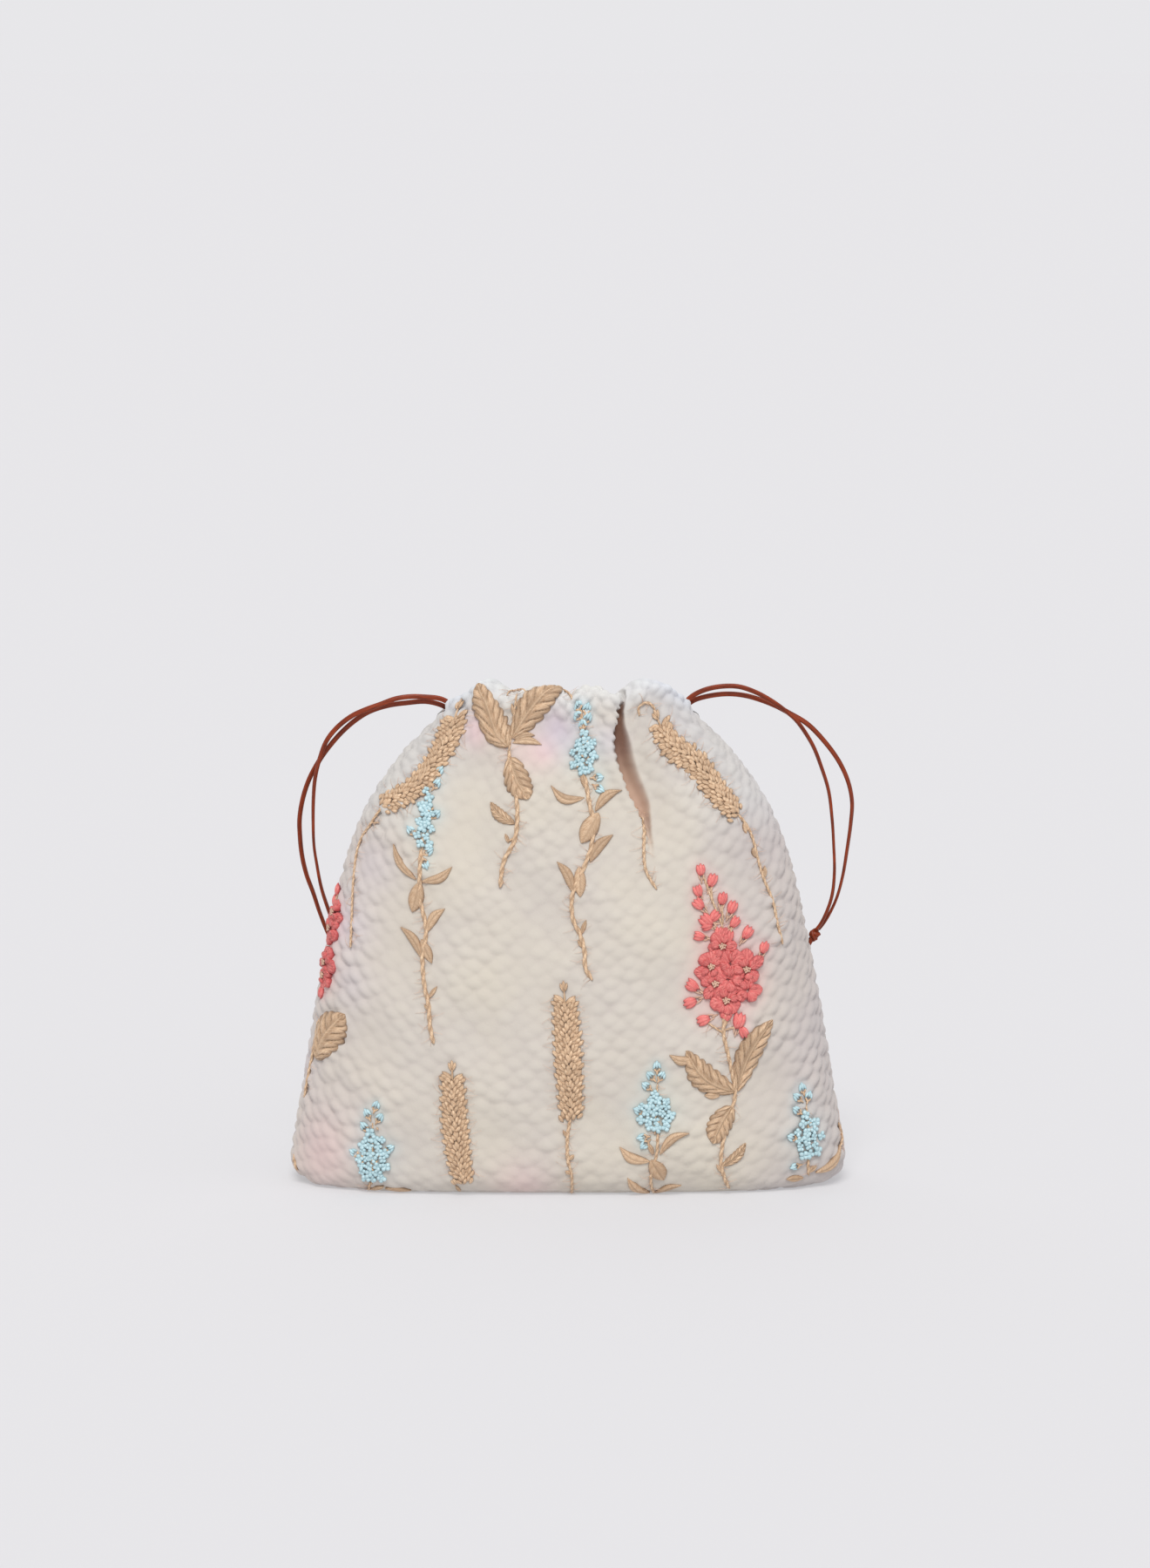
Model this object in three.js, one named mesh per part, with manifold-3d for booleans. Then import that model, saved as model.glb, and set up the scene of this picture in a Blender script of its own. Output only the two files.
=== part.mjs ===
// A soft drawstring pouch that stands upright, gathered at the mouth on two leather laces.
// Millimetres. X runs across the front, the front faces -Y, Z is up and the floor is z = 0.
import * as THREE from 'three';
import { mergeVertices } from 'three/addons/utils/BufferGeometryUtils.js';
import Module from 'manifold-3d';

const wasm = await Module();
wasm.setup();

// Cloth
const WALL = 1.8;
const SEAM_GAP = 0.3;
const COLUMNS = 64;
const BASE_EDGE = 9;
const OUTLINE_SAMPLES = 4096;
const WELD = 1e-4;

// Gathered mouth: the rim's reference height, and the height where its ups and downs begin
const RIM = 200;
const NECK = 150;
const RIM_ROUND = 3;
const RIM_STEPS = 5;
const RIM_LEAD = 0.06;

// Casing: the turned-in hem that holds the laces
const CASING_FOOT = 184;
const HEM_FOOT = 174;
const HEM_WALL = 1.4;
const HEM_INSET = 10.8;
const SLIT_HALF_WIDTH = 3.4;
const SLIT_INNER_X = 30;
const SLIT_OUTER_X = 66;
const SLIT_TOP = 220;
const TUNNEL_CROWN = 1.5;

// Folds are pinched to a share of their depth where the casing holds them, swell to full depth below it,
// and fade from a share of their reach to its end.
const CASING_PINCH = 0.5;
const FOLD_SWELL = 20;
const FOLD_FADE = 0.3;

// Laces
const LACE_DIAMETER = 1.6;
const LACE_SIDES = 8;
const LACE_STEPS = 80;
const LACE_INSET = 7.7;
const LACE_TURN_INSET = 6.6;
const LACE_TURN_POWER = 4;
const LACE_LEVEL = { left: 187.6, right: 185.3 };
const CASING_RUN_HALF_TURN = THREE.MathUtils.degToRad(150);
const CASING_RUN_POINTS = 21;

// Knots
const KNOT_SIDES = 12;
const KNOT_TAIL = 3;
const KNOT_TAIL_STEPS = 3;
const KNOT_TAIL_SPREAD = { root: 0.6, tip: 1.4 };

// The knot's outline, as shares of its half length and radius: two wraps with a waist between them.
const KNOT_PROFILE = [
  { along: -1, out: 0 },
  { along: -0.92, out: 0.7 },
  { along: -0.45, out: 1 },
  { along: 0, out: 0.82 },
  { along: 0.45, out: 1 },
  { along: 0.92, out: 0.7 },
  { along: 1, out: 0 },
];

// The filled pouch from the base edge to the rim. power is the squareness of each level's outline.
const SECTIONS = [
  { z: 0, halfWidth: 102, halfDepth: 29, power: 3.0 },
  { z: 3, halfWidth: 108, halfDepth: 34, power: 3.0 },
  { z: BASE_EDGE, halfWidth: 111, halfDepth: 37, power: 2.9 },
  { z: 20, halfWidth: 109.6, halfDepth: 38.6, power: 2.8 },
  { z: 40, halfWidth: 106, halfDepth: 39, power: 2.7 },
  { z: 70, halfWidth: 101.2, halfDepth: 37.5, power: 2.6 },
  { z: 98, halfWidth: 96.4, halfDepth: 34.2, power: 2.6 },
  { z: 128, halfWidth: 90, halfDepth: 29.8, power: 2.6 },
  { z: NECK, halfWidth: 82, halfDepth: 25.4, power: 2.6 },
  { z: 166, halfWidth: 73, halfDepth: 21.4, power: 2.7 },
  { z: 178, halfWidth: 62, halfDepth: 18.8, power: 2.8 },
  { z: 186, halfWidth: 53, halfDepth: 17.4, power: 2.9 },
  { z: 194, halfWidth: 47.5, halfDepth: 16.6, power: 3.0 },
  { z: RIM, halfWidth: 46.5, halfDepth: 16.2, power: 3.0 },
];

// Gathers. rim and foot are places across a panel, from -1 at the left seam to 1 at the right one.
const FRONT_FOLDS = [
  { rim: -0.9, foot: -0.84, depth: 2.8, width: 0.08, reach: 60 },
  { rim: -0.55, foot: -0.46, depth: 3.2, width: 0.1, reach: 70 },
  { rim: 0.02, foot: 0.04, depth: 2.6, width: 0.09, reach: 50 },
  { rim: 0.23, foot: 0.22, depth: 1.8, width: 0.07, reach: 36 },
  { rim: 0.45, foot: 0.37, depth: 8, width: 0.09, reach: 84 },
];
const BACK_FOLDS = [
  { rim: -0.78, foot: -0.7, depth: 3, width: 0.1, reach: 60 },
  { rim: -0.42, foot: -0.36, depth: 5, width: 0.1, reach: 75 },
  { rim: -0.04, foot: -0.03, depth: 3.4, width: 0.1, reach: 60 },
  { rim: 0.36, foot: 0.3, depth: 6, width: 0.1, reach: 80 },
  { rim: 0.74, foot: 0.68, depth: 3, width: 0.1, reach: 60 },
];

// Height of the rim across each panel.
const FRONT_RIM = [
  { share: -1, top: 195.5 },
  { share: -0.88, top: 199.5 },
  { share: -0.73, top: 203 },
  { share: -0.55, top: 198.5 },
  { share: -0.35, top: 200.5 },
  { share: -0.1, top: 200 },
  { share: 0.02, top: 197.8 },
  { share: 0.12, top: 200.5 },
  { share: 0.34, top: 199.5 },
  { share: 0.45, top: 196.5 },
  { share: 0.56, top: 200 },
  { share: 0.7, top: 203 },
  { share: 0.86, top: 202 },
  { share: 1, top: 196 },
];
const BACK_RIM = [
  { share: -1, top: 194 },
  { share: -0.6, top: 195.5 },
  { share: -0.42, top: 193.5 },
  { share: 0, top: 195 },
  { share: 0.36, top: 193.5 },
  { share: 0.6, top: 195.5 },
  { share: 1, top: 194 },
];

// The knots: the middle of each, the way its tails point, and its size.
const KNOTS = {
  left: { middle: [-91.5, 23, 85.5], axis: [0.15, 0.2, -0.97], length: 5, radius: 2 },
  right: { middle: [99.7, 3.2, 97.8], axis: [-0.12, 0.1, -0.98], length: 5, radius: 2 },
};

// Free strands from the slit to the knot, as x, y, z. Each lace bows out and comes to rest on the flank.
const LEFT_FRONT_STRAND = [
  [-44.4, -3.4, 188.8], [-47.8, -1.6, 192], [-51.5, -1.4, 194.4], [-57, -1.3, 195.2], [-62.6, -1.2, 195.3],
  [-68.5, -0.8, 194.4], [-74.3, -0.3, 192.2], [-80.2, 0.3, 190], [-86, 1.2, 187.2], [-91.9, 2.4, 182.5],
  [-96.2, 3.6, 177], [-98.9, 4.8, 170.3], [-101, 6.3, 162], [-101.9, 8, 153.3], [-102.2, 9.6, 142.9],
  [-102, 11.2, 133.3], [-101, 12.8, 125.4], [-98.8, 14.6, 117], [-95.2, 16.8, 107], [-92.3, 19, 98.5],
  [-91.2, 20.6, 92.5], [-91.4, 21.6, 88.4],
];
const LEFT_BACK_STRAND = [
  [-44.4, 3.4, 188.4], [-48, 1.6, 190.4], [-51.7, 1.5, 192], [-56.8, 1.5, 193], [-64.1, 1.9, 192.4],
  [-71.4, 2.4, 191.3], [-78.7, 3.1, 188.9], [-84.5, 4, 185.3], [-90.4, 5.2, 180], [-95.5, 6.6, 174],
  [-98.9, 7.6, 169.2], [-103.2, 9.2, 161.5], [-106.1, 10.5, 153.3], [-107.7, 11.8, 144.4], [-107.7, 13, 137],
  [-107, 14.2, 128.8], [-105.3, 15.5, 120.7], [-102.8, 16.8, 113.3], [-99.5, 18.2, 105.1], [-96, 20, 96.4],
  [-94, 21.8, 91.6], [-93.1, 23, 88.4],
];
const RIGHT_FRONT_STRAND = [
  [43.8, -4.2, 185.4], [46.8, -2.2, 187], [48.6, -1.5, 190.6], [50, -1.4, 194], [53.2, -1.4, 197.2],
  [59.2, -1.4, 199.2], [67.2, -1.4, 199.4], [73.8, -1.4, 197.4], [81.1, -1.5, 193.5], [88.1, -1.6, 188.3],
  [91.2, -1.6, 185.3], [97.2, -1.4, 176.1], [100.8, -1.1, 167.2], [103.8, -0.7, 157.5], [105.3, -0.2, 146.4],
  [106.1, 0.3, 135.3], [106.5, 0.8, 124.2], [105.6, 1.2, 114.6], [103.2, 1.6, 107], [101.6, 1.8, 103.2],
  [100.2, 1.95, 100.9],
];
const RIGHT_BACK_STRAND = [
  [43.8, 4.2, 185.3], [47, 2.2, 186.2], [49.4, 1.5, 189], [51.6, 1.4, 192.2], [55.4, 1.4, 194.8],
  [62.8, 1.5, 196], [70.2, 1.6, 195.4], [77.5, 1.7, 193.3], [83.3, 1.7, 190.9], [88.1, 1.6, 188.3],
  [95, 1.5, 184.2], [101.6, 1.6, 177.6], [108.1, 1.8, 168.7], [111.8, 2, 160.5], [113.4, 2.2, 152.4],
  [113, 2.4, 144.2], [111.6, 2.6, 133.1], [110, 2.8, 122.7], [107.6, 3.2, 113.1], [104.4, 3.6, 106.2],
  [102.2, 3.8, 103], [100.6, 3.95, 101],
];

const CLOTH = new THREE.MeshStandardMaterial({ color: 0xded7cd, roughness: 0.85, metalness: 0 });
const LEATHER = new THREE.MeshStandardMaterial({ color: 0x7c3a24, roughness: 0.5, metalness: 0 });

const smooth = THREE.MathUtils.smoothstep;
const lerp = THREE.MathUtils.lerp;

// One column of a table at a value of its key column, on a smooth curve through the rows.
function read(table, key, column, at) {
  const last = table.length - 1;
  const clamped = THREE.MathUtils.clamp(at, table[0][key], table[last][key]);
  let row = 0;
  while (row < last - 1 && table[row + 1][key] <= clamped) {
    row += 1;
  }
  const slope = (i) => {
    const before = table[Math.max(i - 1, 0)];
    const after = table[Math.min(i + 1, last)];
    return (after[column] - before[column]) / (after[key] - before[key]);
  };
  const span = table[row + 1][key] - table[row][key];
  const t = (clamped - table[row][key]) / span;
  const bow = t * (1 - t) * span;
  const straight = lerp(table[row][column], table[row + 1][column], smooth(t, 0, 1));
  return straight + bow * (slope(row) * (1 - t) - slope(row + 1) * t);
}

// Where a turn angle sits on a level's outline, as shares of its half-width and half-depth.
function outline(turn, power) {
  const bend = (value) => Math.sign(value) * Math.abs(value) ** (2 / power);
  return { across: bend(Math.cos(turn)), deep: bend(Math.sin(turn)) };
}

// Depth of the gathers at a place across a panel and a height.
function foldDepth(turn, across, z) {
  const folds = Math.sin(turn) < 0 ? FRONT_FOLDS : BACK_FOLDS;
  const held = lerp(1, CASING_PINCH, smooth(z, CASING_FOOT - FOLD_SWELL, CASING_FOOT));
  let depth = 0;
  for (const fold of folds) {
    const down = THREE.MathUtils.clamp((RIM - z) / fold.reach, 0, 1);
    const away = (across - lerp(fold.rim, fold.foot, down)) / fold.width;
    depth += fold.depth * held * (1 - smooth(down, FOLD_FADE, 1)) * Math.exp(-away * away);
  }
  return depth;
}

function rimTop(turn) {
  const { across } = outline(turn, SECTIONS[SECTIONS.length - 1].power);
  return read(Math.sin(turn) < 0 ? FRONT_RIM : BACK_RIM, 'share', 'top', across);
}

// A point of the pouch at a turn round it and a height, set in from its gathered or ungathered skin.
function skin(turn, z, inset, gathered = 1) {
  const level = Math.min(z, RIM);
  const halfWidth = read(SECTIONS, 'z', 'halfWidth', level);
  const halfDepth = read(SECTIONS, 'z', 'halfDepth', level);
  const { across, deep } = outline(turn, read(SECTIONS, 'z', 'power', level));
  const depth = inset + gathered * foldDepth(turn, across, z);
  return new THREE.Vector3((halfWidth - depth) * across, (halfDepth - depth) * deep, z);
}

// How far the wall's inner face lies in from its outer one: more where the wall leans.
function wallInset(z) {
  const rise = 1;
  const above = read(SECTIONS, 'z', 'halfDepth', Math.min(z + rise, RIM));
  const below = read(SECTIONS, 'z', 'halfDepth', Math.max(z - rise, 0));
  return WALL * Math.hypot(1, (above - below) / (2 * rise));
}

// Height on a wall that is stretched or squashed above the neck to meet its own rim.
function fitToRim(z, turn) {
  return z + (rimTop(turn) - RIM) * smooth(z, NECK, RIM - RIM_ROUND);
}

// Rows of points up the outside and down the inside of the wall.
const OUTER_BANDS = [
  { from: 0, to: BASE_EDGE, rows: 3 },
  { from: BASE_EDGE, to: NECK, rows: 10 },
  { from: NECK, to: RIM - RIM_ROUND, rows: 8 },
];
const INNER_BANDS = [
  { from: HEM_FOOT, to: NECK, rows: 3 },
  { from: NECK, to: BASE_EDGE, rows: 8 },
  { from: BASE_EDGE, to: WALL, rows: 2 },
];
const HEM_SHARES = [0.8, 0.4, 0];
const BASE_RINGS = [0.4, 0.75];

function levels(bands) {
  const band = ({ from, to, rows }) => Array.from({ length: rows }, (unused, i) => lerp(from, to, i / rows));
  return bands.flatMap(band);
}

// One column of the bag: up the outside, over the rim, down the hem and the inside, and back to the middle.
function bagColumn(turn) {
  const points = BASE_RINGS.map((share) => skin(turn, 0, 0).multiplyScalar(share));
  for (const z of levels(OUTER_BANDS)) {
    points.push(skin(turn, fitToRim(z, turn), 0));
  }
  const top = rimTop(turn);
  const shoulder = top - RIM_ROUND;
  for (let step = 0; step < RIM_STEPS; step += 1) {
    const share = lerp(RIM_LEAD, 1 - RIM_LEAD, step / (RIM_STEPS - 1));
    const lift = RIM_ROUND * Math.sin(Math.PI * share);
    const over = (1 - Math.cos(Math.PI * share)) / 2;
    const outer = skin(turn, shoulder + lift, 0);
    points.push(outer.lerp(skin(turn, shoulder + lift, HEM_INSET, 0), over));
  }
  for (const share of HEM_SHARES) {
    points.push(skin(turn, lerp(CASING_FOOT, shoulder, share), HEM_INSET, 0));
  }
  for (const z of [...levels(INNER_BANDS), WALL]) {
    points.push(skin(turn, z, wallInset(z)));
  }
  const floor = skin(turn, WALL, wallInset(WALL));
  for (const share of [...BASE_RINGS].reverse()) {
    points.push(new THREE.Vector3(floor.x * share, floor.y * share, WALL));
  }
  return points;
}

// One column of the hollow inside the casing, as a closed loop.
function tunnelColumn(turn) {
  const shoulder = rimTop(turn) - RIM_ROUND - TUNNEL_CROWN;
  const middle = (CASING_FOOT + shoulder) / 2;
  const outer = [CASING_FOOT, middle, shoulder].map((z) => skin(turn, z, WALL));
  const inner = [shoulder, middle, CASING_FOOT].map((z) => skin(turn, z, HEM_INSET - HEM_WALL, 0));
  const crown = outer[2].clone().lerp(inner[0], 0.5);
  crown.z += TUNNEL_CROWN;
  return [...outer, crown, ...inner];
}

// Turn angles spread evenly along the outline at mid height, with no column on a seam.
function columnTurns() {
  const step = (Math.PI * 2) / OUTLINE_SAMPLES;
  const point = (i) => skin(i * step, RIM / 2, 0, 0);
  const lengths = [0];
  for (let i = 1; i <= OUTLINE_SAMPLES; i += 1) {
    lengths.push(lengths[i - 1] + point(i).distanceTo(point(i - 1)));
  }
  const turns = [];
  for (let column = 0; column < COLUMNS; column += 1) {
    const goal = (lengths[OUTLINE_SAMPLES] * (column + 0.5)) / COLUMNS;
    turns.push(lengths.findIndex((length) => length >= goal) * step);
  }
  return turns;
}

// A closed surface through columns of points. Open columns are closed by one point at each end.
function loft(columns, ends) {
  const rows = columns[0].length;
  const points = [...columns.flat(), ...ends];
  const index = [];
  const at = (column, row) => (column % columns.length) * rows + (row % rows);
  const bands = ends.length ? rows - 1 : rows;
  for (let column = 0; column < columns.length; column += 1) {
    for (let row = 0; row < bands; row += 1) {
      const corners = [at(column, row), at(column + 1, row), at(column + 1, row + 1), at(column, row + 1)];
      index.push(corners[0], corners[1], corners[2], corners[0], corners[2], corners[3]);
    }
    if (ends.length) {
      const first = columns.length * rows;
      index.push(first, at(column + 1, 0), at(column, 0));
      index.push(first + 1, at(column, rows - 1), at(column + 1, rows - 1));
    }
  }
  const geometry = new THREE.BufferGeometry().setFromPoints(points);
  geometry.setIndex(index);
  return geometry;
}

function toSolid(geometry) {
  const bare = geometry.clone();
  bare.deleteAttribute('normal');
  bare.deleteAttribute('uv');
  const merged = mergeVertices(bare, WELD);
  return new wasm.Manifold(new wasm.Mesh({
    numProp: 3,
    vertProperties: new Float32Array(merged.attributes.position.array),
    triVerts: new Uint32Array(merged.index.array),
  }));
}

function toGeometry(solid) {
  const mesh = solid.getMesh();
  const geometry = new THREE.BufferGeometry();
  geometry.setAttribute('position', new THREE.BufferAttribute(new Float32Array(mesh.vertProperties), 3));
  geometry.setIndex(new THREE.BufferAttribute(new Uint32Array(mesh.triVerts), 1));
  geometry.computeVertexNormals();
  return geometry;
}

function box(low, high) {
  const size = new THREE.Vector3().subVectors(high, low);
  const middle = new THREE.Vector3().addVectors(low, high).multiplyScalar(0.5);
  return toSolid(new THREE.BoxGeometry(size.x, size.y, size.z).translate(middle.x, middle.y, middle.z));
}

// The whole bag with its casing hollowed and the side slits open, before the seams divide it.
function sewnBag() {
  const turns = columnTurns();
  const poles = [new THREE.Vector3(0, 0, 0), new THREE.Vector3(0, 0, WALL)];
  let bag = toSolid(loft(turns.map(bagColumn), poles));
  bag = bag.subtract(toSolid(loft(turns.map(tunnelColumn), [])));
  for (const side of [-1, 1]) {
    const near = new THREE.Vector3(side * SLIT_INNER_X, -SLIT_HALF_WIDTH, CASING_FOOT);
    const far = new THREE.Vector3(side * SLIT_OUTER_X, SLIT_HALF_WIDTH, SLIT_TOP);
    const low = near.clone().min(far);
    const high = near.clone().max(far);
    bag = bag.subtract(box(low, high));
  }
  return bag;
}

// The half of the bag on one side of the side and base seams.
function panel(bag, side) {
  const reach = RIM * 2;
  const near = new THREE.Vector3(-reach, (side * SEAM_GAP) / 2, -reach);
  const far = new THREE.Vector3(reach, side * reach, reach);
  return toGeometry(bag.intersect(box(near.clone().min(far), near.clone().max(far))));
}

function tube(points, steps) {
  const path = new THREE.CatmullRomCurve3(points);
  const ring = new THREE.Shape();
  for (let i = 0; i < LACE_SIDES; i += 1) {
    const turn = (i / LACE_SIDES) * Math.PI * 2;
    const corner = [Math.cos(turn), Math.sin(turn)].map((value) => (value * LACE_DIAMETER) / 2);
    if (i === 0) {
      ring.moveTo(...corner);
    } else {
      ring.lineTo(...corner);
    }
  }
  return new THREE.ExtrudeGeometry(ring, { steps, bevelEnabled: false, extrudePath: path });
}

// A lace: one strand in at its slit, round both casings, and the other strand out again.
function drawstring(side, frontStrand, backStrand) {
  const away = side === 'left' ? 1 : -1;
  const toVector = (point) => new THREE.Vector3(...point);
  const run = [];
  for (let i = 0; i < CASING_RUN_POINTS; i += 1) {
    const turn = lerp(-CASING_RUN_HALF_TURN, CASING_RUN_HALF_TURN, i / (CASING_RUN_POINTS - 1));
    const inset = lerp(LACE_INSET, LACE_TURN_INSET, Math.cos(turn) ** LACE_TURN_POWER);
    const point = skin(turn, LACE_LEVEL[side], inset, 0);
    run.push(new THREE.Vector3(point.x * away, point.y, point.z));
  }
  const inward = frontStrand.map(toVector).reverse();
  return tube([...inward, ...run, ...backStrand.map(toVector)], LACE_STEPS);
}

// An overhand knot drawn tight: a barrel with a waist between its two wraps, and the two cut ends.
function knot({ middle, axis, length, radius }) {
  const half = length / 2;
  const profile = KNOT_PROFILE.map(({ along, out }) => new THREE.Vector2(radius * out, half * along));
  let solid = toSolid(new THREE.LatheGeometry(profile, KNOT_SIDES));
  for (const side of [-1, 1]) {
    const tail = [0, 0.5, 1].map((share) => new THREE.Vector3(
      0,
      lerp(half / 2, half + KNOT_TAIL, share),
      side * lerp(KNOT_TAIL_SPREAD.root, KNOT_TAIL_SPREAD.tip, share),
    ));
    solid = solid.add(toSolid(tube(tail, KNOT_TAIL_STEPS)));
  }
  const geometry = toGeometry(solid);
  const turn = new THREE.Quaternion().setFromUnitVectors(
    new THREE.Vector3(0, 1, 0),
    new THREE.Vector3(...axis).normalize(),
  );
  return geometry.applyQuaternion(turn).translate(...middle);
}

function piece(name, geometry, material) {
  const mesh = new THREE.Mesh(geometry, material);
  mesh.name = name;
  return mesh;
}

const bag = sewnBag();
const body = new THREE.Group();
body.add(piece('front_panel', panel(bag, -1), CLOTH));
body.add(piece('back_panel', panel(bag, 1), CLOTH));

const laces = new THREE.Group();
laces.add(piece('drawstring_left', drawstring('left', LEFT_FRONT_STRAND, LEFT_BACK_STRAND), LEATHER));
laces.add(piece('drawstring_right', drawstring('right', RIGHT_FRONT_STRAND, RIGHT_BACK_STRAND), LEATHER));
laces.add(piece('knot_left', knot(KNOTS.left), LEATHER));
laces.add(piece('knot_right', knot(KNOTS.right), LEATHER));

const pouch = new THREE.Group();
pouch.add(body, laces);

export default pouch;
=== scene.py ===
"""A soft drawstring pouch of puckered, embroidered cloth, gathered at the mouth on two leather laces.

Sizes are in millimetres until a mesh is made. X runs across the front, the front faces -Y, Z is up.
"""
import logging
import math
from dataclasses import dataclass, field
from enum import Enum
from typing import NamedTuple

import bpy
import numpy as np
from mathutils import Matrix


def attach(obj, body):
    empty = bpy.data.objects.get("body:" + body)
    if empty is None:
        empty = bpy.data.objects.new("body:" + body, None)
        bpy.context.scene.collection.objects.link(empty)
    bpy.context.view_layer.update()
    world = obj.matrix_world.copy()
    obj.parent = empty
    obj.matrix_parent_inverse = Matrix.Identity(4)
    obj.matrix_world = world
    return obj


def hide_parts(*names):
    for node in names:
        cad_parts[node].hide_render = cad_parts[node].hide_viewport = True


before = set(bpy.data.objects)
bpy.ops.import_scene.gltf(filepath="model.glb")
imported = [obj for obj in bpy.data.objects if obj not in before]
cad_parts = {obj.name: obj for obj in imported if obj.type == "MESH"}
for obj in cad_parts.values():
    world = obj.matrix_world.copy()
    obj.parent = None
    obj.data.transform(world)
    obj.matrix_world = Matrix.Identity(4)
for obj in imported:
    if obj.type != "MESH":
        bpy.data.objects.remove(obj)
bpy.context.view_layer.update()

BODY = "root"
SEED = 20
# A millimetre in metres, and the least height of a point over the floor in millimetres.
MM = 0.001
FLOOR_CLEAR = 0.15
# The least divisor, and the points of a smooth curve between two points of its path.
TINY = 1e-6
CURVE_STEPS = 24

log = logging.getLogger("pouch")

Array = np.ndarray
Point = tuple[float, float]
Triple = tuple[float, float, float]
Colour = tuple[float, float, float]
Material = bpy.types.Material
Piece = bpy.types.Object
Socket = bpy.types.NodeSocket
Node = bpy.types.Node


class Side(Enum):
    """The two halves of the bag, with the sign of the Y axis that each faces."""

    FRONT = -1
    BACK = 1


class Section(NamedTuple):
    """One level of the filled pouch. power is the squareness of its outline."""

    z: float
    half_width: float
    half_depth: float
    power: float


class Fold(NamedTuple):
    """A gather: its place across the panel at the rim and at its foot, from -1 to 1, and its size."""

    rim: float
    foot: float
    depth: float
    width: float
    reach: float


class RimPoint(NamedTuple):
    """Height of the rim at a place across a panel."""

    share: float
    top: float


SECTIONS = tuple(Section(*row) for row in (
    (0, 102, 29, 3.0), (3, 108, 34, 3.0), (9, 111, 37, 2.9), (20, 109.6, 38.6, 2.8), (40, 106, 39, 2.7),
    (70, 101.2, 37.5, 2.6), (98, 95.8, 34.2, 2.6), (128, 89, 29.8, 2.6), (150, 80.8, 25.4, 2.6),
    (166, 70.8, 21.4, 2.7), (178, 60.8, 18.8, 2.8), (186, 52.4, 17.4, 2.9), (194, 47.6, 16.6, 3.0),
    (200, 47.2, 16.2, 3.0),
))

FOLDS = {
    Side.FRONT: tuple(Fold(*row) for row in (
        (-0.9, -0.84, 2.8, 0.08, 60), (-0.55, -0.46, 3.2, 0.1, 70), (0.02, 0.04, 2.6, 0.09, 50),
        (0.23, 0.22, 1.8, 0.07, 36), (0.47, 0.39, 4.5, 0.1, 84),
    )),
    Side.BACK: tuple(Fold(*row) for row in (
        (-0.78, -0.7, 3, 0.1, 60), (-0.42, -0.36, 5, 0.1, 75), (-0.04, -0.03, 3.4, 0.1, 60),
        (0.36, 0.3, 6, 0.1, 80), (0.74, 0.68, 3, 0.1, 60),
    )),
}

RIMS = {
    Side.FRONT: tuple(RimPoint(*row) for row in (
        (-1, 195.5), (-0.88, 199.5), (-0.73, 203), (-0.55, 198.5), (-0.35, 200.5), (-0.1, 200),
        (0.02, 197.8), (0.12, 200.5), (0.34, 199.5), (0.45, 196.5), (0.56, 200), (0.7, 203),
        (0.86, 202), (1, 196),
    )),
    Side.BACK: tuple(RimPoint(*row) for row in (
        (-1, 194), (-0.6, 195.5), (-0.42, 193.5), (0, 195), (0.36, 193.5), (0.6, 195.5), (1, 194),
    )),
}


def smoothstep(low: float, high: float, at: Array | float) -> Array:
    """Ease values from 0 at low to 1 at high."""
    share = np.clip((np.asarray(at, float) - low) / (high - low), 0, 1)
    return share * share * (3 - 2 * share)


def rounded(turn: Array, bend: Array | float) -> tuple[Array, Array]:
    """Points at turns of a round outline, which is squarer the smaller its bend is."""
    return tuple(np.sign(wave) * np.abs(wave) ** bend for wave in (np.cos(turn), np.sin(turn)))


def read(rows: tuple, key: str, column: str, at: Array | float) -> Array:
    """Read one column of a table on a smooth curve through its rows.

    Args:
        rows: the table's rows.
        key: name of the column that at belongs to.
        column: name of the column to read.
        at: where to read it.

    Returns:
        The column's value at each place.
    """
    keys = np.array([getattr(row, key) for row in rows], float)
    values = np.array([getattr(row, column) for row in rows], float)
    before = np.concatenate([[0], np.arange(len(rows) - 1)])
    after = np.concatenate([np.arange(1, len(rows)), [len(rows) - 1]])
    slopes = (values[after] - values[before]) / (keys[after] - keys[before])
    at = np.clip(at, keys[0], keys[-1])
    row = np.clip(np.searchsorted(keys, at, side="right") - 1, 0, len(rows) - 2)
    span = keys[row + 1] - keys[row]
    t = (at - keys[row]) / span
    straight = values[row] + (values[row + 1] - values[row]) * smoothstep(0, 1, t)
    return straight + t * (1 - t) * span * (slopes[row] * (1 - t) - slopes[row + 1] * t)


def unit(vectors: Array) -> Array:
    """The vectors at length 1."""
    return vectors / np.maximum(np.linalg.norm(vectors, axis=-1, keepdims=True), TINY)


def aim(angle: float) -> Array:
    """The way that an angle in radians points on the cloth."""
    return np.array([math.cos(angle), math.sin(angle)])


def angle_of(way: Array) -> float:
    """The angle of a way on the cloth, in radians."""
    return math.atan2(way[1], way[0])


def left_of(way: Array) -> Array:
    """The ways to the left of others on the cloth."""
    return np.stack([-way[..., 1], way[..., 0]], axis=-1)


def distances(path: Array) -> Array:
    """The distance along a path at each of its points."""
    return np.concatenate([[0], np.cumsum(np.linalg.norm(np.diff(path, axis=0), axis=1))])


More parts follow.
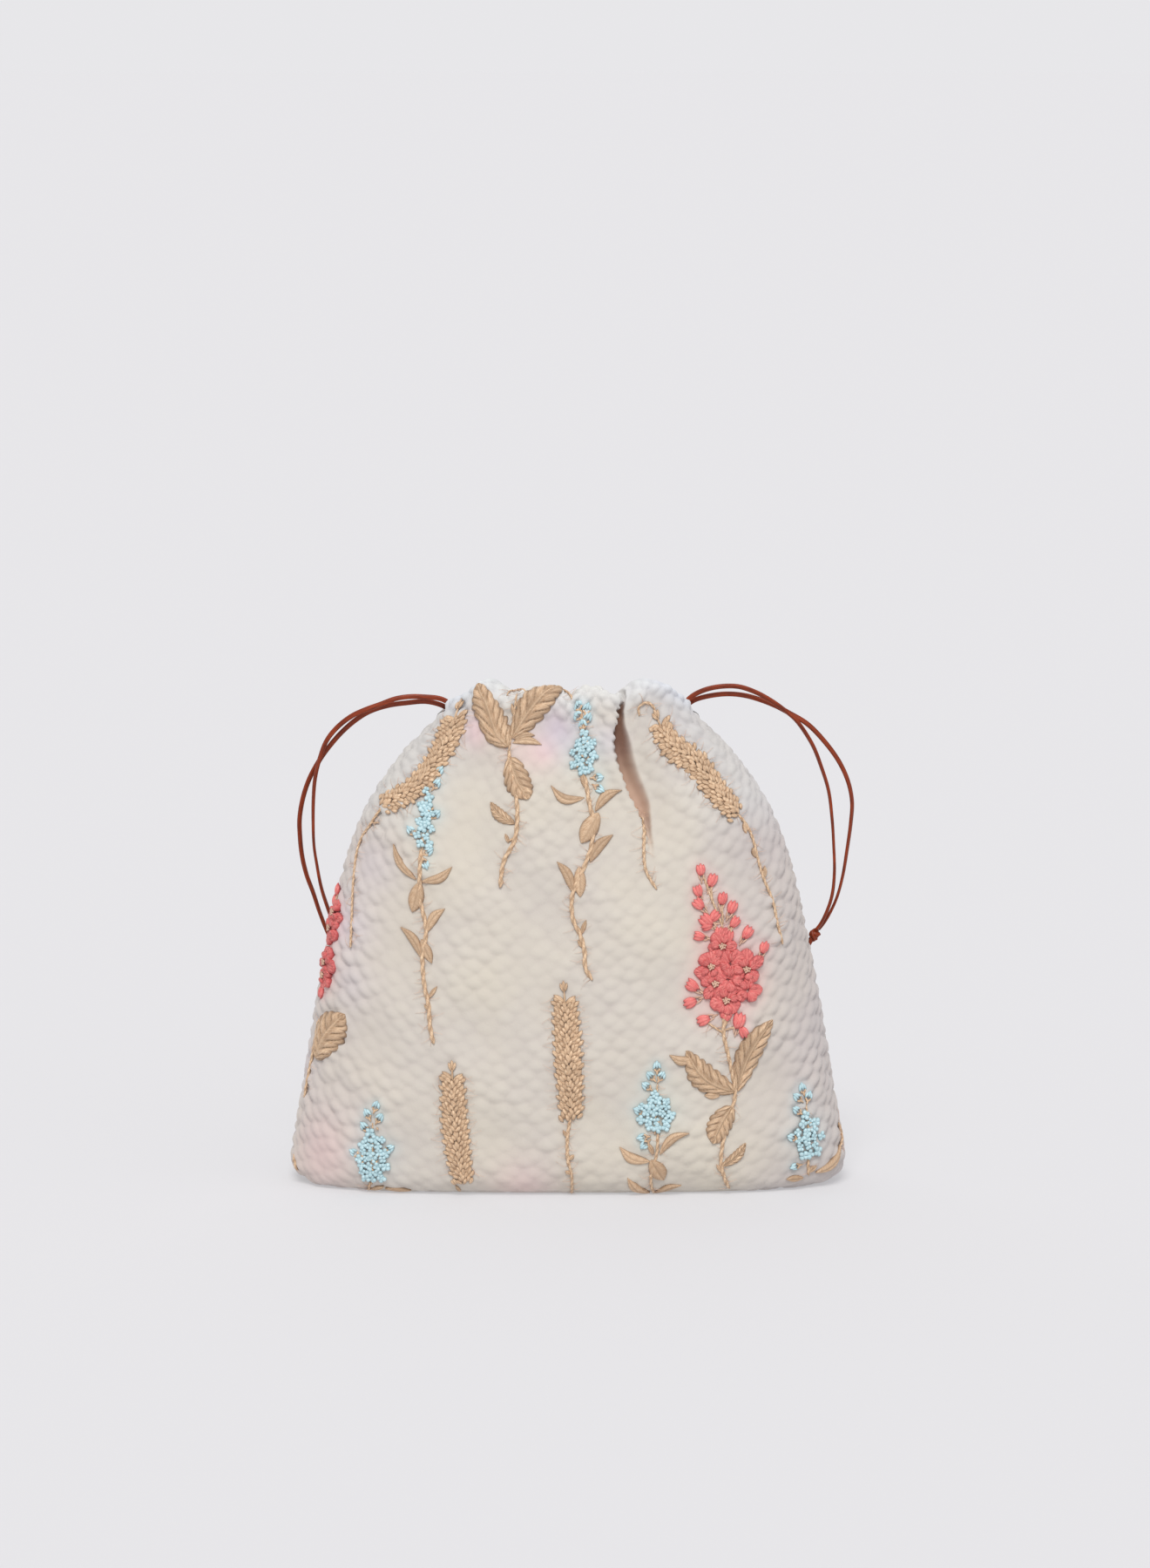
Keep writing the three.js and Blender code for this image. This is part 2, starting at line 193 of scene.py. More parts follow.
def rounded_path(points: Array, step: float) -> Array:
    """A smooth centripetal curve through points, in even steps.

    Args:
        points: the points, one a row, in two or three dimensions.
        step: distance between the points that are returned.

    Returns:
        The curve's points.
    """
    points = np.asarray(points, float)
    padded = np.vstack([2 * points[0] - points[1], points, 2 * points[-1] - points[-2]])
    fine = []
    for i in range(len(points) - 1):
        a, b, c, d = padded[i:i + 4]
        gaps = [math.sqrt(max(np.linalg.norm(q - p), TINY)) for p, q in ((a, b), (b, c), (c, d))]
        leave = (b - a) / gaps[0] - (c - a) / (gaps[0] + gaps[1]) + (c - b) / gaps[1]
        arrive = (c - b) / gaps[1] - (d - b) / (gaps[1] + gaps[2]) + (d - c) / gaps[2]
        t = np.linspace(0, 1, CURVE_STEPS, endpoint=False)[:, None]
        fine.append((2 * t**3 - 3 * t**2 + 1) * b + (t**3 - 2 * t**2 + t) * leave * gaps[1]
                    + (3 * t**2 - 2 * t**3) * c + (t**3 - t**2) * arrive * gaps[1])
    fine = np.vstack([*fine, points[-1:]])
    along = distances(fine)
    count = max(int(round(along[-1] / step)), 2)
    even = np.linspace(0, along[-1], count + 1)
    return np.stack([np.interp(even, along, fine[:, k]) for k in range(fine.shape[1])], axis=1)


@dataclass
class PhotoCamera:
    """The camera at the photograph's angle, and where it sees a point."""

    aim: Triple = (2.8, 0.0, 160.0)
    elevation: float = 8.5
    distance: float = 2000.0
    lens: float = 115.2
    sensor: float = 36.0
    image: tuple[int, int] = (1320, 1800)
    farthest: float = 100000.0

    def place(self) -> None:
        """Make the camera and set it as the scene's own."""
        data = bpy.data.cameras.new("camera")
        data.lens = self.lens
        data.sensor_width = self.sensor
        data.clip_end = self.farthest * MM
        camera = bpy.data.objects.new("camera", data)
        bpy.context.scene.collection.objects.link(camera)
        camera.location = self.position() * MM
        camera.rotation_euler = (math.radians(90 - self.elevation), 0, 0)
        bpy.context.scene.camera = camera

    def position(self) -> Array:
        """Where the camera stands."""
        tilt = math.radians(self.elevation)
        return np.array(self.aim) + self.distance * np.array([0, -math.cos(tilt), math.sin(tilt)])

    def see(self, points: Array) -> Array:
        """Where points show in the image.

        Args:
            points: points in the pouch's frame.

        Returns:
            Their pixels, across and down.
        """
        tilt = math.radians(self.elevation)
        ray = points - self.position()
        ahead = ray @ np.array([0, math.cos(tilt), -math.sin(tilt)])
        up = ray @ np.array([0, math.sin(tilt), math.cos(tilt)])
        scale = self.lens / self.sensor * max(self.image)
        width, height = self.image
        return np.stack([width / 2 + scale * ray[..., 0] / ahead, height / 2 - scale * up / ahead], axis=-1)


@dataclass
class PouchForm:
    """The skin of the filled pouch, from its sections, gathers and rim."""

    wall: float = 1.8
    rim: float = 200.0
    neck: float = 150.0
    rim_round: float = 3.0
    casing_foot: float = 184.0
    hem_foot: float = 174.0
    hem_inset: float = 10.8
    slit_foot: float = 183.0
    slit_full: float = 192.0
    slit_half_width: float = 1.5
    casing_pinch: float = 0.5
    fold_swell: float = 20.0
    fold_fade: float = 0.3
    outline_samples: int = 2001

    def level(self, z: Array | float) -> tuple[Array, Array, Array]:
        """Half width, half depth and squareness of the outline at a height."""
        z = np.minimum(z, self.rim)
        return tuple(read(SECTIONS, "z", name, z) for name in ("half_width", "half_depth", "power"))

    def outline(self, turn: Array, power: Array | float) -> tuple[Array, Array]:
        """Places at turns, as shares of an outline's half width and half depth."""
        return rounded(turn, 2 / np.asarray(power))

    def fold_depth(self, side: Side, across: Array, z: Array) -> Array:
        """Depth of the gathers.

        Args:
            side: the panel.
            across: places across it, from -1 to 1.
            z: heights.

        Returns:
            The depth at each place.
        """
        pinch = smoothstep(self.casing_foot - self.fold_swell, self.casing_foot, z)
        held = 1 + (self.casing_pinch - 1) * pinch
        depth = np.zeros(np.broadcast(across, z).shape)
        for fold in FOLDS[side]:
            down = np.clip((self.rim - z) / fold.reach, 0, 1)
            away = (across - (fold.rim + (fold.foot - fold.rim) * down)) / fold.width
            depth += fold.depth * held * (1 - smoothstep(self.fold_fade, 1, down)) * np.exp(-away * away)
        return depth

    def rim_top(self, side: Side, turn: Array) -> Array:
        """Height of the rim at a turn round the pouch."""
        across, _ = self.outline(turn, SECTIONS[-1].power)
        return read(RIMS[side], "share", "top", across)

    def skin(self, side: Side, turn: Array, z: Array, inset: Array | float = 0.0,
             gathered: Array | float = 1.0) -> Array:
        """Points of the pouch at turns and heights.

        Args:
            side: the panel that they lie on.
            turn: turn angles round the pouch.
            z: heights.
            inset: how far they are set in from the skin.
            gathered: share of the gathers' depth.

        Returns:
            The points.
        """
        half_width, half_depth, power = self.level(z)
        across, deep = self.outline(turn, power)
        depth = inset + gathered * self.fold_depth(side, across, z)
        return np.stack([(half_width - depth) * across, (half_depth - depth) * deep, z + 0 * turn], axis=-1)

    def turns(self, side: Side, z: float, shares: Array) -> tuple[Array, float]:
        """Turn angles at even shares of a panel's outline, clear of the slits beside the casing.

        Args:
            side: the panel.
            z: the height of the outline.
            shares: places from -1 at the seam on a viewer's left to 1 at the other.

        Returns:
            The turns, and half the outline's length.
        """
        start = -math.pi if side is Side.FRONT else 0.0
        turn = np.linspace(start, start + math.pi, self.outline_samples)
        half_width, half_depth, power = self.level(z)
        across, deep = self.outline(turn, power)
        slit = self.slit_half_width * smoothstep(self.slit_foot, self.slit_full, z)
        clear = np.abs(half_depth * deep) >= slit - TINY
        turn, across, deep = turn[clear], across[clear], deep[clear]
        steps = np.hypot(np.diff(half_width * across), np.diff(half_depth * deep))
        along = np.concatenate([[0], np.cumsum(steps)])
        return np.interp((np.asarray(shares) + 1) / 2 * along[-1], along, turn), along[-1] / 2

    def fit_to_rim(self, side: Side, z: float, turn: Array) -> Array:
        """Height on a wall that is stretched or squashed above the neck to meet its own rim."""
        rise = smoothstep(self.neck, self.rim - self.rim_round, z)
        return z + (self.rim_top(side, turn) - self.rim) * rise

    def over_rim(self, side: Side, turn: Array, share: float) -> Array:
        """Points on the rounded rim.

        Args:
            side: the panel.
            turn: turn angles round the pouch.
            share: from 0 at the rim's outer shoulder to 1 at its inner one.

        Returns:
            The points.
        """
        z = self.rim_top(side, turn) - self.rim_round * (1 - math.sin(math.pi * share))
        outer = self.skin(side, turn, z)
        inner = self.skin(side, turn, z, self.hem_inset, 0.0)
        return outer + (inner - outer) * (1 - math.cos(math.pi * share)) / 2


def add_piece(name: str, points: Array, faces: list, material: Material,
              uv: Array | None = None) -> Piece:
    """Make a smooth mesh piece that rides on the pouch.

    Args:
        name: the piece's name.
        points: its points, in millimetres.
        faces: its faces, as rows of point numbers.
        material: its finish.
        uv: a place on the thread or lace for each point, and where it has a third column, its painted light
            and shade, from 0 in painted shade to 1 fully lit.

    Returns:
        The piece's object.
    """
    mesh = bpy.data.meshes.new(name)
    mesh.from_pydata((np.asarray(points) * MM).tolist(), [], faces)
    mesh.polygons.foreach_set("use_smooth", np.ones(len(mesh.polygons), bool))
    mesh.materials.append(material)
    if uv is not None:
        corners = np.zeros(len(mesh.loops), np.int32)
        mesh.loops.foreach_get("vertex_index", corners)
        layer = mesh.uv_layers.new(name="thread")
        layer.data.foreach_set("uv", np.asarray(uv, np.float32)[corners, :2].ravel())
        if uv.shape[1] > 2:
            # The stitches' painted light and shade.
            crown = mesh.attributes.new("crown", "FLOAT", "POINT")
            crown.data.foreach_set("value", uv[:, 2].astype(np.float32))
    mesh.update()
    piece = bpy.data.objects.new(name, mesh)
    bpy.context.scene.collection.objects.link(piece)
    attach(piece, BODY)
    return piece


def grid_faces(rows: int, columns: int, around: bool = False, flipped: bool = False) -> list:
    """Faces of a grid of points, row by row.

    Args:
        rows: rows of points.
        columns: points in a row.
        around: true where each row closes on itself.
        flipped: true where the faces look the other way.

    Returns:
        The faces, as rows of point numbers.
    """
    row = np.arange(rows - 1)[:, None] * columns
    column = np.arange(columns if around else columns - 1)[None, :]
    beside = (column + 1) % columns
    corners = [row + column, row + beside, row + columns + beside, row + columns + column]
    faces = np.stack(corners, axis=-1).reshape(-1, 4)
    return (faces[:, ::-1] if flipped else faces).tolist()


def tube_faces(rings: int, sides: int) -> list:
    """Faces of a tube of rings with closed ends, as rows of point numbers."""
    ends = [list(range(sides)), list(range(rings * sides - 1, (rings - 1) * sides - 1, -1))]
    return grid_faces(rings, sides, around=True, flipped=True) + ends


class MeshPile:
    """Points, faces and thread places of many small shapes, gathered into one piece."""

    def __init__(self) -> None:
        """Start empty."""
        self.points: list[Array] = []
        self.places: list[Array] = []
        self.faces: list[list[int]] = []
        self.count = 0

    def add(self, points: Array, faces: list, places: Array) -> None:
        """Add one shape.

        Args:
            points: its points.
            faces: its faces, numbered from its own first point.
            places: a place on the thread for each point.
        """
        self.points.append(points)
        self.places.append(places)
        self.faces.extend([[corner + self.count for corner in face] for face in faces])
        self.count += len(points)

    def make(self, name: str, material: Material) -> Piece:
        """Make the piece."""
        return add_piece(name, np.vstack(self.points), self.faces, material, np.vstack(self.places))


def linear(red: float, green: float, blue: float) -> tuple[float, float, float, float]:
    """A colour of 0 to 255 as a shader takes it, by the usual screen curve."""
    shares = np.array([red, green, blue]) / 255
    return (*np.where(shares <= 0.04045, shares / 12.92, ((shares + 0.055) / 1.055) ** 2.4).tolist(), 1.0)


# Numbers of a mix node's sockets for colours: the share and the two colours, and the result.
MIX_INPUTS = (0, 6, 7)
MIX_RESULT = 2


class Shader:
    """A node tree with short ways to add and join nodes."""

    def __init__(self, tree: bpy.types.NodeTree) -> None:
        """Work on a tree."""
        self.tree = tree

    def feed(self, socket: Socket, value: object) -> None:
        """Give a socket its value, or join it to the socket that gives it.

        Args:
            socket: the socket to feed.
            value: its value, or another socket.
        """
        if isinstance(value, Socket):
            self.tree.links.new(value, socket)
        else:
            socket.default_value = value

    def fill(self, node: Node, **values: object) -> None:
        """Feed a node's inputs, named with underscores for spaces, from values or sockets."""
        for name, value in values.items():
            self.feed(node.inputs[name.replace("_", " ")], value)

    def add(self, kind: str, **values: object) -> Node:
        """Add a node.

        Args:
            kind: the node's type, without its leading words.
            values: its properties, or its inputs where a name starts with a capital.

        Returns:
            The node.
        """
        node = self.tree.nodes.new(f"ShaderNode{kind}")
        for name, value in values.items():
            if name[0].isupper():
                self.fill(node, **{name: value})
            else:
                setattr(node, name, value)
        return node

    def mix(self, share: Socket | float, low: object, high: object, blend: str = "MIX") -> Socket:
        """Mix two colours.

        Args:
            share: a socket or number from 0 to 1.
            low: the colour, or the socket that gives it, at 0.
            high: the same at 1.
            blend: how they mix.

        Returns:
            The mixed colour's socket.
        """
        node = self.add("Mix", data_type="RGBA", blend_type=blend)
        for number, value in zip(MIX_INPUTS, (share, low, high)):
            self.feed(node.inputs[number], value)
        return node.outputs[MIX_RESULT]

    def scaled(self, value: Socket, low: float, high: float, source: Point = (0.0, 1.0)) -> Socket:
        """A value spread from a source range, which is 0 to 1 by itself, to low and high."""
        node = self.add("MapRange", Value=value, From_Min=source[0], From_Max=source[1],
                        To_Min=low, To_Max=high)
        return node.outputs["Result"]

    def noise(self, place: Socket, **values: object) -> Socket:
        """A noise over places."""
        return self.add("TexNoise", Vector=place, **values).outputs["Fac"]

    def along_thread(self, stretch: Triple) -> Socket:
        """The place on a thread or lace, stretched."""
        place = self.add("UVMap", uv_map="thread").outputs["UV"]
        return self.add("Mapping", Vector=place, Scale=stretch).outputs["Vector"]

    def bump(self, height: Socket, strength: float, distance: float) -> Socket:
        """A normal from a height."""
        return self.add("Bump", Height=height, Strength=strength, Distance=distance).outputs["Normal"]


class EffectGroup:
    """A shader node group with named sockets, made once and placed in several materials."""

    def __init__(self, name: str, inputs: dict[str, tuple[str, object]], outputs: dict[str, str]) -> None:
        """Make the group's sockets.

        Args:
            name: the group's name.
            inputs: each input's kind and first value.
            outputs: each output's kind.
        """
        self.tree = bpy.data.node_groups.new(name, "ShaderNodeTree")
        for label, (kind, value) in inputs.items():
            socket = self.tree.interface.new_socket(label, in_out="INPUT", socket_type=f"NodeSocket{kind}")
            socket.default_value = value
        for label, kind in outputs.items():
            self.tree.interface.new_socket(label, in_out="OUTPUT", socket_type=f"NodeSocket{kind}")
        self.shader = Shader(self.tree)
        self.enter = self.tree.nodes.new("NodeGroupInput").outputs
        self.leave = self.tree.nodes.new("NodeGroupOutput")

    def place(self, shader: Shader, **values: object) -> bpy.types.bpy_prop_collection:
        """Put the group into a material with values for its inputs, and return its outputs."""
        return shader.add("Group", node_tree=self.tree, **values).outputs


@dataclass
class Effects:
    """The effects that more than one finish uses."""

    cloud_scale: float = 22.0
    strand_stretch: Triple = (0.22, 1.0, 1.0)
    strand_contrast: Point = (0.34, 0.66)
    strand_roughness: Point = (0.56, 0.34)

    def __post_init__(self) -> None:
        """Make the groups."""
        self.weave = self.make_weave()
        self.thread = self.make_thread()

    def make_weave(self) -> EffectGroup:
        """Fine fibres with slow clouds over them: a height and a colour share.

        Returns:
            The group.
        """
        group = EffectGroup("fine_weave", {"Pitch": ("Float", 1600.0)},
                            {"Height": "Float", "Shade": "Float"})
        shader = group.shader
        place = shader.add("TexCoord").outputs["Object"]
        fibre = shader.noise(place, Scale=group.enter["Pitch"], Detail=6.0, Roughness=0.7)
        cloud = shader.noise(place, Scale=self.cloud_scale, Detail=3.0)
        shader.fill(group.leave, Height=fibre, Shade=cloud)
        return group

    def make_thread(self) -> EffectGroup:
        """Silky strands side by side: a colour between two, partly the strands' own tone and partly painted
        sheen, with a height and a roughness.

        Returns:
            The group.
        """
        group = EffectGroup(
            "silky_strands",
            {"Light": ("Color", (1, 1, 1, 1)), "Dark": ("Color", (0, 0, 0, 1)), "Strand": ("Float", 2.6)},
            {"Color": "Color", "Height": "Float", "Roughness": "Float"},
        )
        shader = group.shader
        along = shader.along_thread(self.strand_stretch)
        height = shader.noise(along, Scale=group.enter["Strand"], Detail=4.0, Roughness=0.62)
        share = shader.scaled(height, 0.0, 1.0, self.strand_contrast)
        colour = shader.mix(share, group.enter["Dark"], group.enter["Light"])
        roughness = shader.scaled(share, *self.strand_roughness)
        shader.fill(group.leave, Color=colour, Height=height, Roughness=roughness)
        return group


def new_material(name: str) -> tuple[Material, Shader, Node]:
    """Make a material.

    Args:
        name: its name.

    Returns:
        The material, its shader and its principled node.
    """
    material = bpy.data.materials.new(name)
    material.use_nodes = True
    shader = Shader(material.node_tree)
    return material, shader, material.node_tree.nodes["Principled BSDF"]


@dataclass(frozen=True)
class ClothFinish:
    """Ivory puckered cloth with a soft bloom, tinted here and there, with painted shade in the creases
    between its puffs.
    """

    name: str = "ivory_puckered"
    crown: Colour = (212, 205, 195)
    # Painted shade in the creases between the puffs.
    puff_crease_shade: Colour = (202, 194, 186)
    warm: Colour = (215, 207, 191)
    warm_share: float = 0.6
    clouds: Point = (0.4, 0.65)
    pitch: float = 1500.0
    bump: Point = (0.25, 0.0006)
    roughness: float = 0.85
    sheen: float = 0.3
    sheen_roughness: float = 0.5
    gloss: float = 0.25

    def make(self, effects: Effects) -> Material:
        """Make the material.

        Args:
            effects: the shared effects.

        Returns:
            The material.
        """
        material, shader, surface = new_material(self.name)
        weave = effects.weave.place(shader, Pitch=self.pitch)
        # Painted shade: the creases between the puffs are darker than their crowns. A colour attribute adds
        # the panel's tints and halos and its painted light and shade.
        puff = shader.add("Attribute", attribute_name="puff").outputs["Fac"]
        tint = shader.add("Attribute", attribute_name="tint").outputs["Color"]
        ground = shader.mix(puff, linear(*self.puff_crease_shade), linear(*self.crown))
        cloud = shader.scaled(weave["Shade"], 0.0, self.warm_share, self.clouds)
        ground = shader.mix(cloud, ground, linear(*self.warm))
        shader.fill(surface, Base_Color=shader.mix(1.0, ground, tint, "MULTIPLY"), Roughness=self.roughness,
                    Normal=shader.bump(weave["Height"], *self.bump), Sheen_Weight=self.sheen,
                    Sheen_Roughness=self.sheen_roughness, Specular_IOR_Level=self.gloss)
        return material


@dataclass(frozen=True)
class ReverseFinish:
    """The plain inner face of the cloth."""

    name: str = "cloth_reverse"
    light: Colour = (214, 207, 197)
    dark: Colour = (190, 182, 172)
    pitch: float = 1100.0
    bump: Point = (0.3, 0.0006)
    roughness: float = 0.9

    def make(self, effects: Effects) -> Material:
        """Make the material.

        Args:
            effects: the shared effects.

        Returns:
            The material.
        """
        material, shader, surface = new_material(self.name)
        weave = effects.weave.place(shader, Pitch=self.pitch)
        colour = shader.mix(weave["Shade"], linear(*self.dark), linear(*self.light))
        normal = shader.bump(weave["Height"], *self.bump)
        shader.fill(surface, Base_Color=colour, Normal=normal, Roughness=self.roughness)
        return material


@dataclass(frozen=True)
class ThreadFinish:
    """Embroidery thread in one colour, with a slot name that nothing in the script reads."""

    name: str
    slot: str
    light: Colour
    dark: Colour
    # Share of the dark colour kept in the painted shade of grooves, edges and shaded sides.
    depth: float = 0.6
    strand: float = 2.6
    bump: Point = (0.5, 0.0004)
    sheen: float = 0.2
    gloss: float = 0.55

    def make(self, effects: Effects) -> Material:
        """Make the material.

        Args:
            effects: the shared effects.

        Returns:
            The material.
        """
        material, shader, surface = new_material(self.name)
        light, dark = linear(*self.light), linear(*self.dark)
        strands = effects.thread.place(shader, Light=light, Dark=dark, Strand=self.strand)
        # Painted light and shade: where the crown attribute is low the thread turns to a darker copy of its
        # dark colour, where it is high it keeps the strands' colours.
        crown = shader.add("Attribute", attribute_name="crown").outputs["Fac"]
        deep = tuple(share * self.depth for share in dark[:3])
        shader.fill(surface, Base_Color=shader.mix(crown, (*deep, 1.0), strands["Color"]),
                    Roughness=strands["Roughness"], Normal=shader.bump(strands["Height"], *self.bump),
                    Sheen_Weight=self.sheen, Specular_IOR_Level=self.gloss)
        return material


class Thread(Enum):
    """The thread colours of the embroidery."""

    TAN = ThreadFinish("tan_silk", "tan_thread", (255, 226, 190), (192, 148, 110), 0.42)
    BLUE = ThreadFinish("sky_blue_silk", "blue_thread", (226, 246, 249), (176, 218, 228))
    CORAL = ThreadFinish("coral_silk", "coral_thread", (252, 164, 152), (235, 91, 95))
    CREAM = ThreadFinish("cream_silk", "tan_thread", (242, 208, 182), (206, 160, 136))


@dataclass(frozen=True)
class LaceFinish:
    """Rust-brown leather lace with a slight gloss and darker streaks along it."""

    name: str = "rust_leather"
    light: Colour = (162, 63, 21)
    dark: Colour = (84, 28, 8)
    stretch: Triple = (0.05, 0.8, 1.0)
    contrast: Point = (0.3, 0.7)
    grain_scale: float = 1400.0
    roughness: Point = (0.34, 0.56)
    bump: Point = (0.2, 0.0003)
    gloss: float = 0.35

    def make(self) -> Material:
        """Make the material.

        Returns:
            The material.
        """
        material, shader, surface = new_material(self.name)
        streak = shader.noise(shader.along_thread(self.stretch), Scale=3.0, Detail=5.0, Roughness=0.6)
        place = shader.add("TexCoord").outputs["Object"]
        grain = shader.noise(place, Scale=self.grain_scale, Detail=3.0)
        share = shader.scaled(streak, 0.0, 1.0, self.contrast)
        shader.fill(surface, Base_Color=shader.mix(share, linear(*self.dark), linear(*self.light)),
                    Roughness=shader.scaled(grain, *self.roughness), Normal=shader.bump(grain, *self.bump),
                    Specular_IOR_Level=self.gloss)
        return material


class Ground:
    """One panel's outer face as a grid: rows from the base edge over the rim, columns from seam to seam.

    A place on the cloth is s, the distance across from the middle column, and t, the distance up from
    the base edge.
    """

    rim_rows: int = 9
    seam_band: Point = (0.93, 0.995)
    level_samples: int = 2001
    coarse_step: int = 6
    search_rounds: int = 12
    longest_stride: int = 8
    last_place: float = 1.001

    def __init__(self, form: PouchForm, side: Side, columns: int, step: float) -> None:
        """Lay the grid.

        Args:
            form: the pouch's form.
            side: the panel.
            columns: columns of points.
            step: distance between rows.
        """
        self.form = form
        self.side = side
        self.step = step
        self.shares = np.linspace(-1, 1, columns)
        self.wall_levels = self.even_levels()
        self.rim_shares = np.linspace(0, 1, 2 * self.rim_rows + 1)[1:]
        self.smooth, self.halves, self.turn_rows = self.lay(0.0)
        self.points = self.lay(1.0)[0]
        self.facing = self.normals(self.points)
        self.s = self.shares[None] * self.halves[:, None]
        self.t = (np.arange(len(self.halves)) * self.step)[:, None]
        self.seen: Array | None = None
        # Where the pleat's floor gets painted shade, where its puffs are calmed, and how deep the shade is
        # in each row.
        self.pleat_shade = np.zeros(self.s.shape)
        self.calm = np.zeros(self.s.shape)
        self.gloom = np.zeros(len(self.points))

    def even_levels(self) -> Array:
        """Heights of the wall's rows, in even steps along its middle column.

        Returns:
            The heights.
        """
        z = np.linspace(0, self.form.rim - self.form.rim_round, self.level_samples)
        along = distances(np.stack([z, read(SECTIONS, "z", "half_depth", z)], axis=1))
        return np.interp(np.arange(0, along[-1], self.step), along, z)

    def lay(self, gathered: float) -> tuple[Array, Array, Array]:
        """Lay the grid's points.

        Args:
            gathered: share of the gathers' depth.

        Returns:
            The points, half the length of each row, and its turns.
        """
        rows, halves, turn_rows = [], [], []
        gathered = gathered * (1 - smoothstep(*self.seam_band, np.abs(self.shares)))
        for z in self.wall_levels:
            turn, half = self.form.turns(self.side, z, self.shares)
            height = self.form.fit_to_rim(self.side, z, turn)
            rows.append(self.form.skin(self.side, turn, height, 0.0, gathered))
            halves.append(half)
            turn_rows.append(turn)
        rows += [self.form.over_rim(self.side, turn, share) for share in self.rim_shares[: self.rim_rows]]
        halves += [half] * self.rim_rows
        turn_rows += [turn] * self.rim_rows
        return np.stack(rows), np.array(halves), np.stack(turn_rows)

    def normals(self, points: Array) -> Array:
        """Outward normals of a grid of points."""
        return unit(np.cross(np.gradient(points, axis=1), np.gradient(points, axis=0)))

    def half_at(self, row: Array) -> Array:
        """Half the length of rows, and between them."""
        return np.interp(row, np.arange(len(self.halves)), self.halves)

    def sample(self, grid: Array, row: Array, column: Array) -> Array:
        """Values of a grid between its points.

        Args:
            grid: the values, by row and column.
            row: row numbers, with fractions.
            column: column numbers, with fractions.

        Returns:
            The values.
        """
        row = np.clip(row, 0, grid.shape[0] - self.last_place)
        column = np.clip(column, 0, grid.shape[1] - self.last_place)
        r, c = np.floor(row).astype(int), np.floor(column).astype(int)
        u, v = row - r, column - c
        if grid.ndim > 2:
            u, v = u[..., None], v[..., None]
        low = grid[r, c] * (1 - v) + grid[r, c + 1] * v
        high = grid[r + 1, c] * (1 - v) + grid[r + 1, c + 1] * v
        return low * (1 - u) + high * u

    def locate(self, chart: Array) -> tuple[Array, Array]:
        """Places on the cloth that are seen at points of the chart, and how far each one misses its point.

        Args:
            chart: points of the chart, across and down.

        Returns:
            Their s and t, and the misses in pixels.
        """
        chart = np.asarray(chart, float).reshape(-1, 2)
        coarse = self.seen[::self.coarse_step, ::self.coarse_step]
        gap = ((coarse[None] - chart[:, None, None]) ** 2).sum(-1).reshape(len(chart), -1)
        nearest = np.unravel_index(gap.argmin(1), coarse.shape[:2])
        row, column = (place * float(self.coarse_step) for place in nearest)
        up, across = np.gradient(self.seen, axis=0), np.gradient(self.seen, axis=1)
        stride = self.longest_stride
        for _ in range(self.search_rounds):
            miss = chart - self.sample(self.seen, row, column)
            a, b = self.sample(up, row, column), self.sample(across, row, column)
            turn = a[:, 0] * b[:, 1] - a[:, 1] * b[:, 0]
            turn = np.where(np.abs(turn) < TINY, TINY, turn)
            row = row + np.clip((miss[:, 0] * b[:, 1] - miss[:, 1] * b[:, 0]) / turn, -stride, stride)
            column = column + np.clip((miss[:, 1] * a[:, 0] - miss[:, 0] * a[:, 1]) / turn, -stride, stride)
            row = np.clip(row, 0, len(self.halves) - 1)
            column = np.clip(column, 0, len(self.shares) - 1)
        half = self.half_at(row)
        share = column / (len(self.shares) - 1) * 2 - 1
        miss = np.linalg.norm(chart - self.sample(self.seen, row, column), axis=1)
        return np.stack([share * half, row * self.step], axis=1), miss

    def lift(self, s: Array, t: Array, height: Array) -> Array:
        """Points at a height over places on the cloth.

        Args:
            s: distances across from the middle column.
            t: distances up from the base edge.
            height: heights over the cloth's mean face.

        Returns:
            The points.
        """
        row = np.asarray(t) / self.step
        column = (np.asarray(s) / self.half_at(row) + 1) / 2 * (len(self.shares) - 1)
        face = self.sample(self.points, row, column)
        points = face + self.sample(self.facing, row, column) * np.asarray(height)[..., None]
        points[..., 2] = np.maximum(points[..., 2], FLOOR_CLEAR)
        return points


class PleatRow(NamedTuple):
    """The pleat's lip at a pixel of the photograph, and the width of the sunken floor beside it."""

    x: float
    y: float
    floor: float


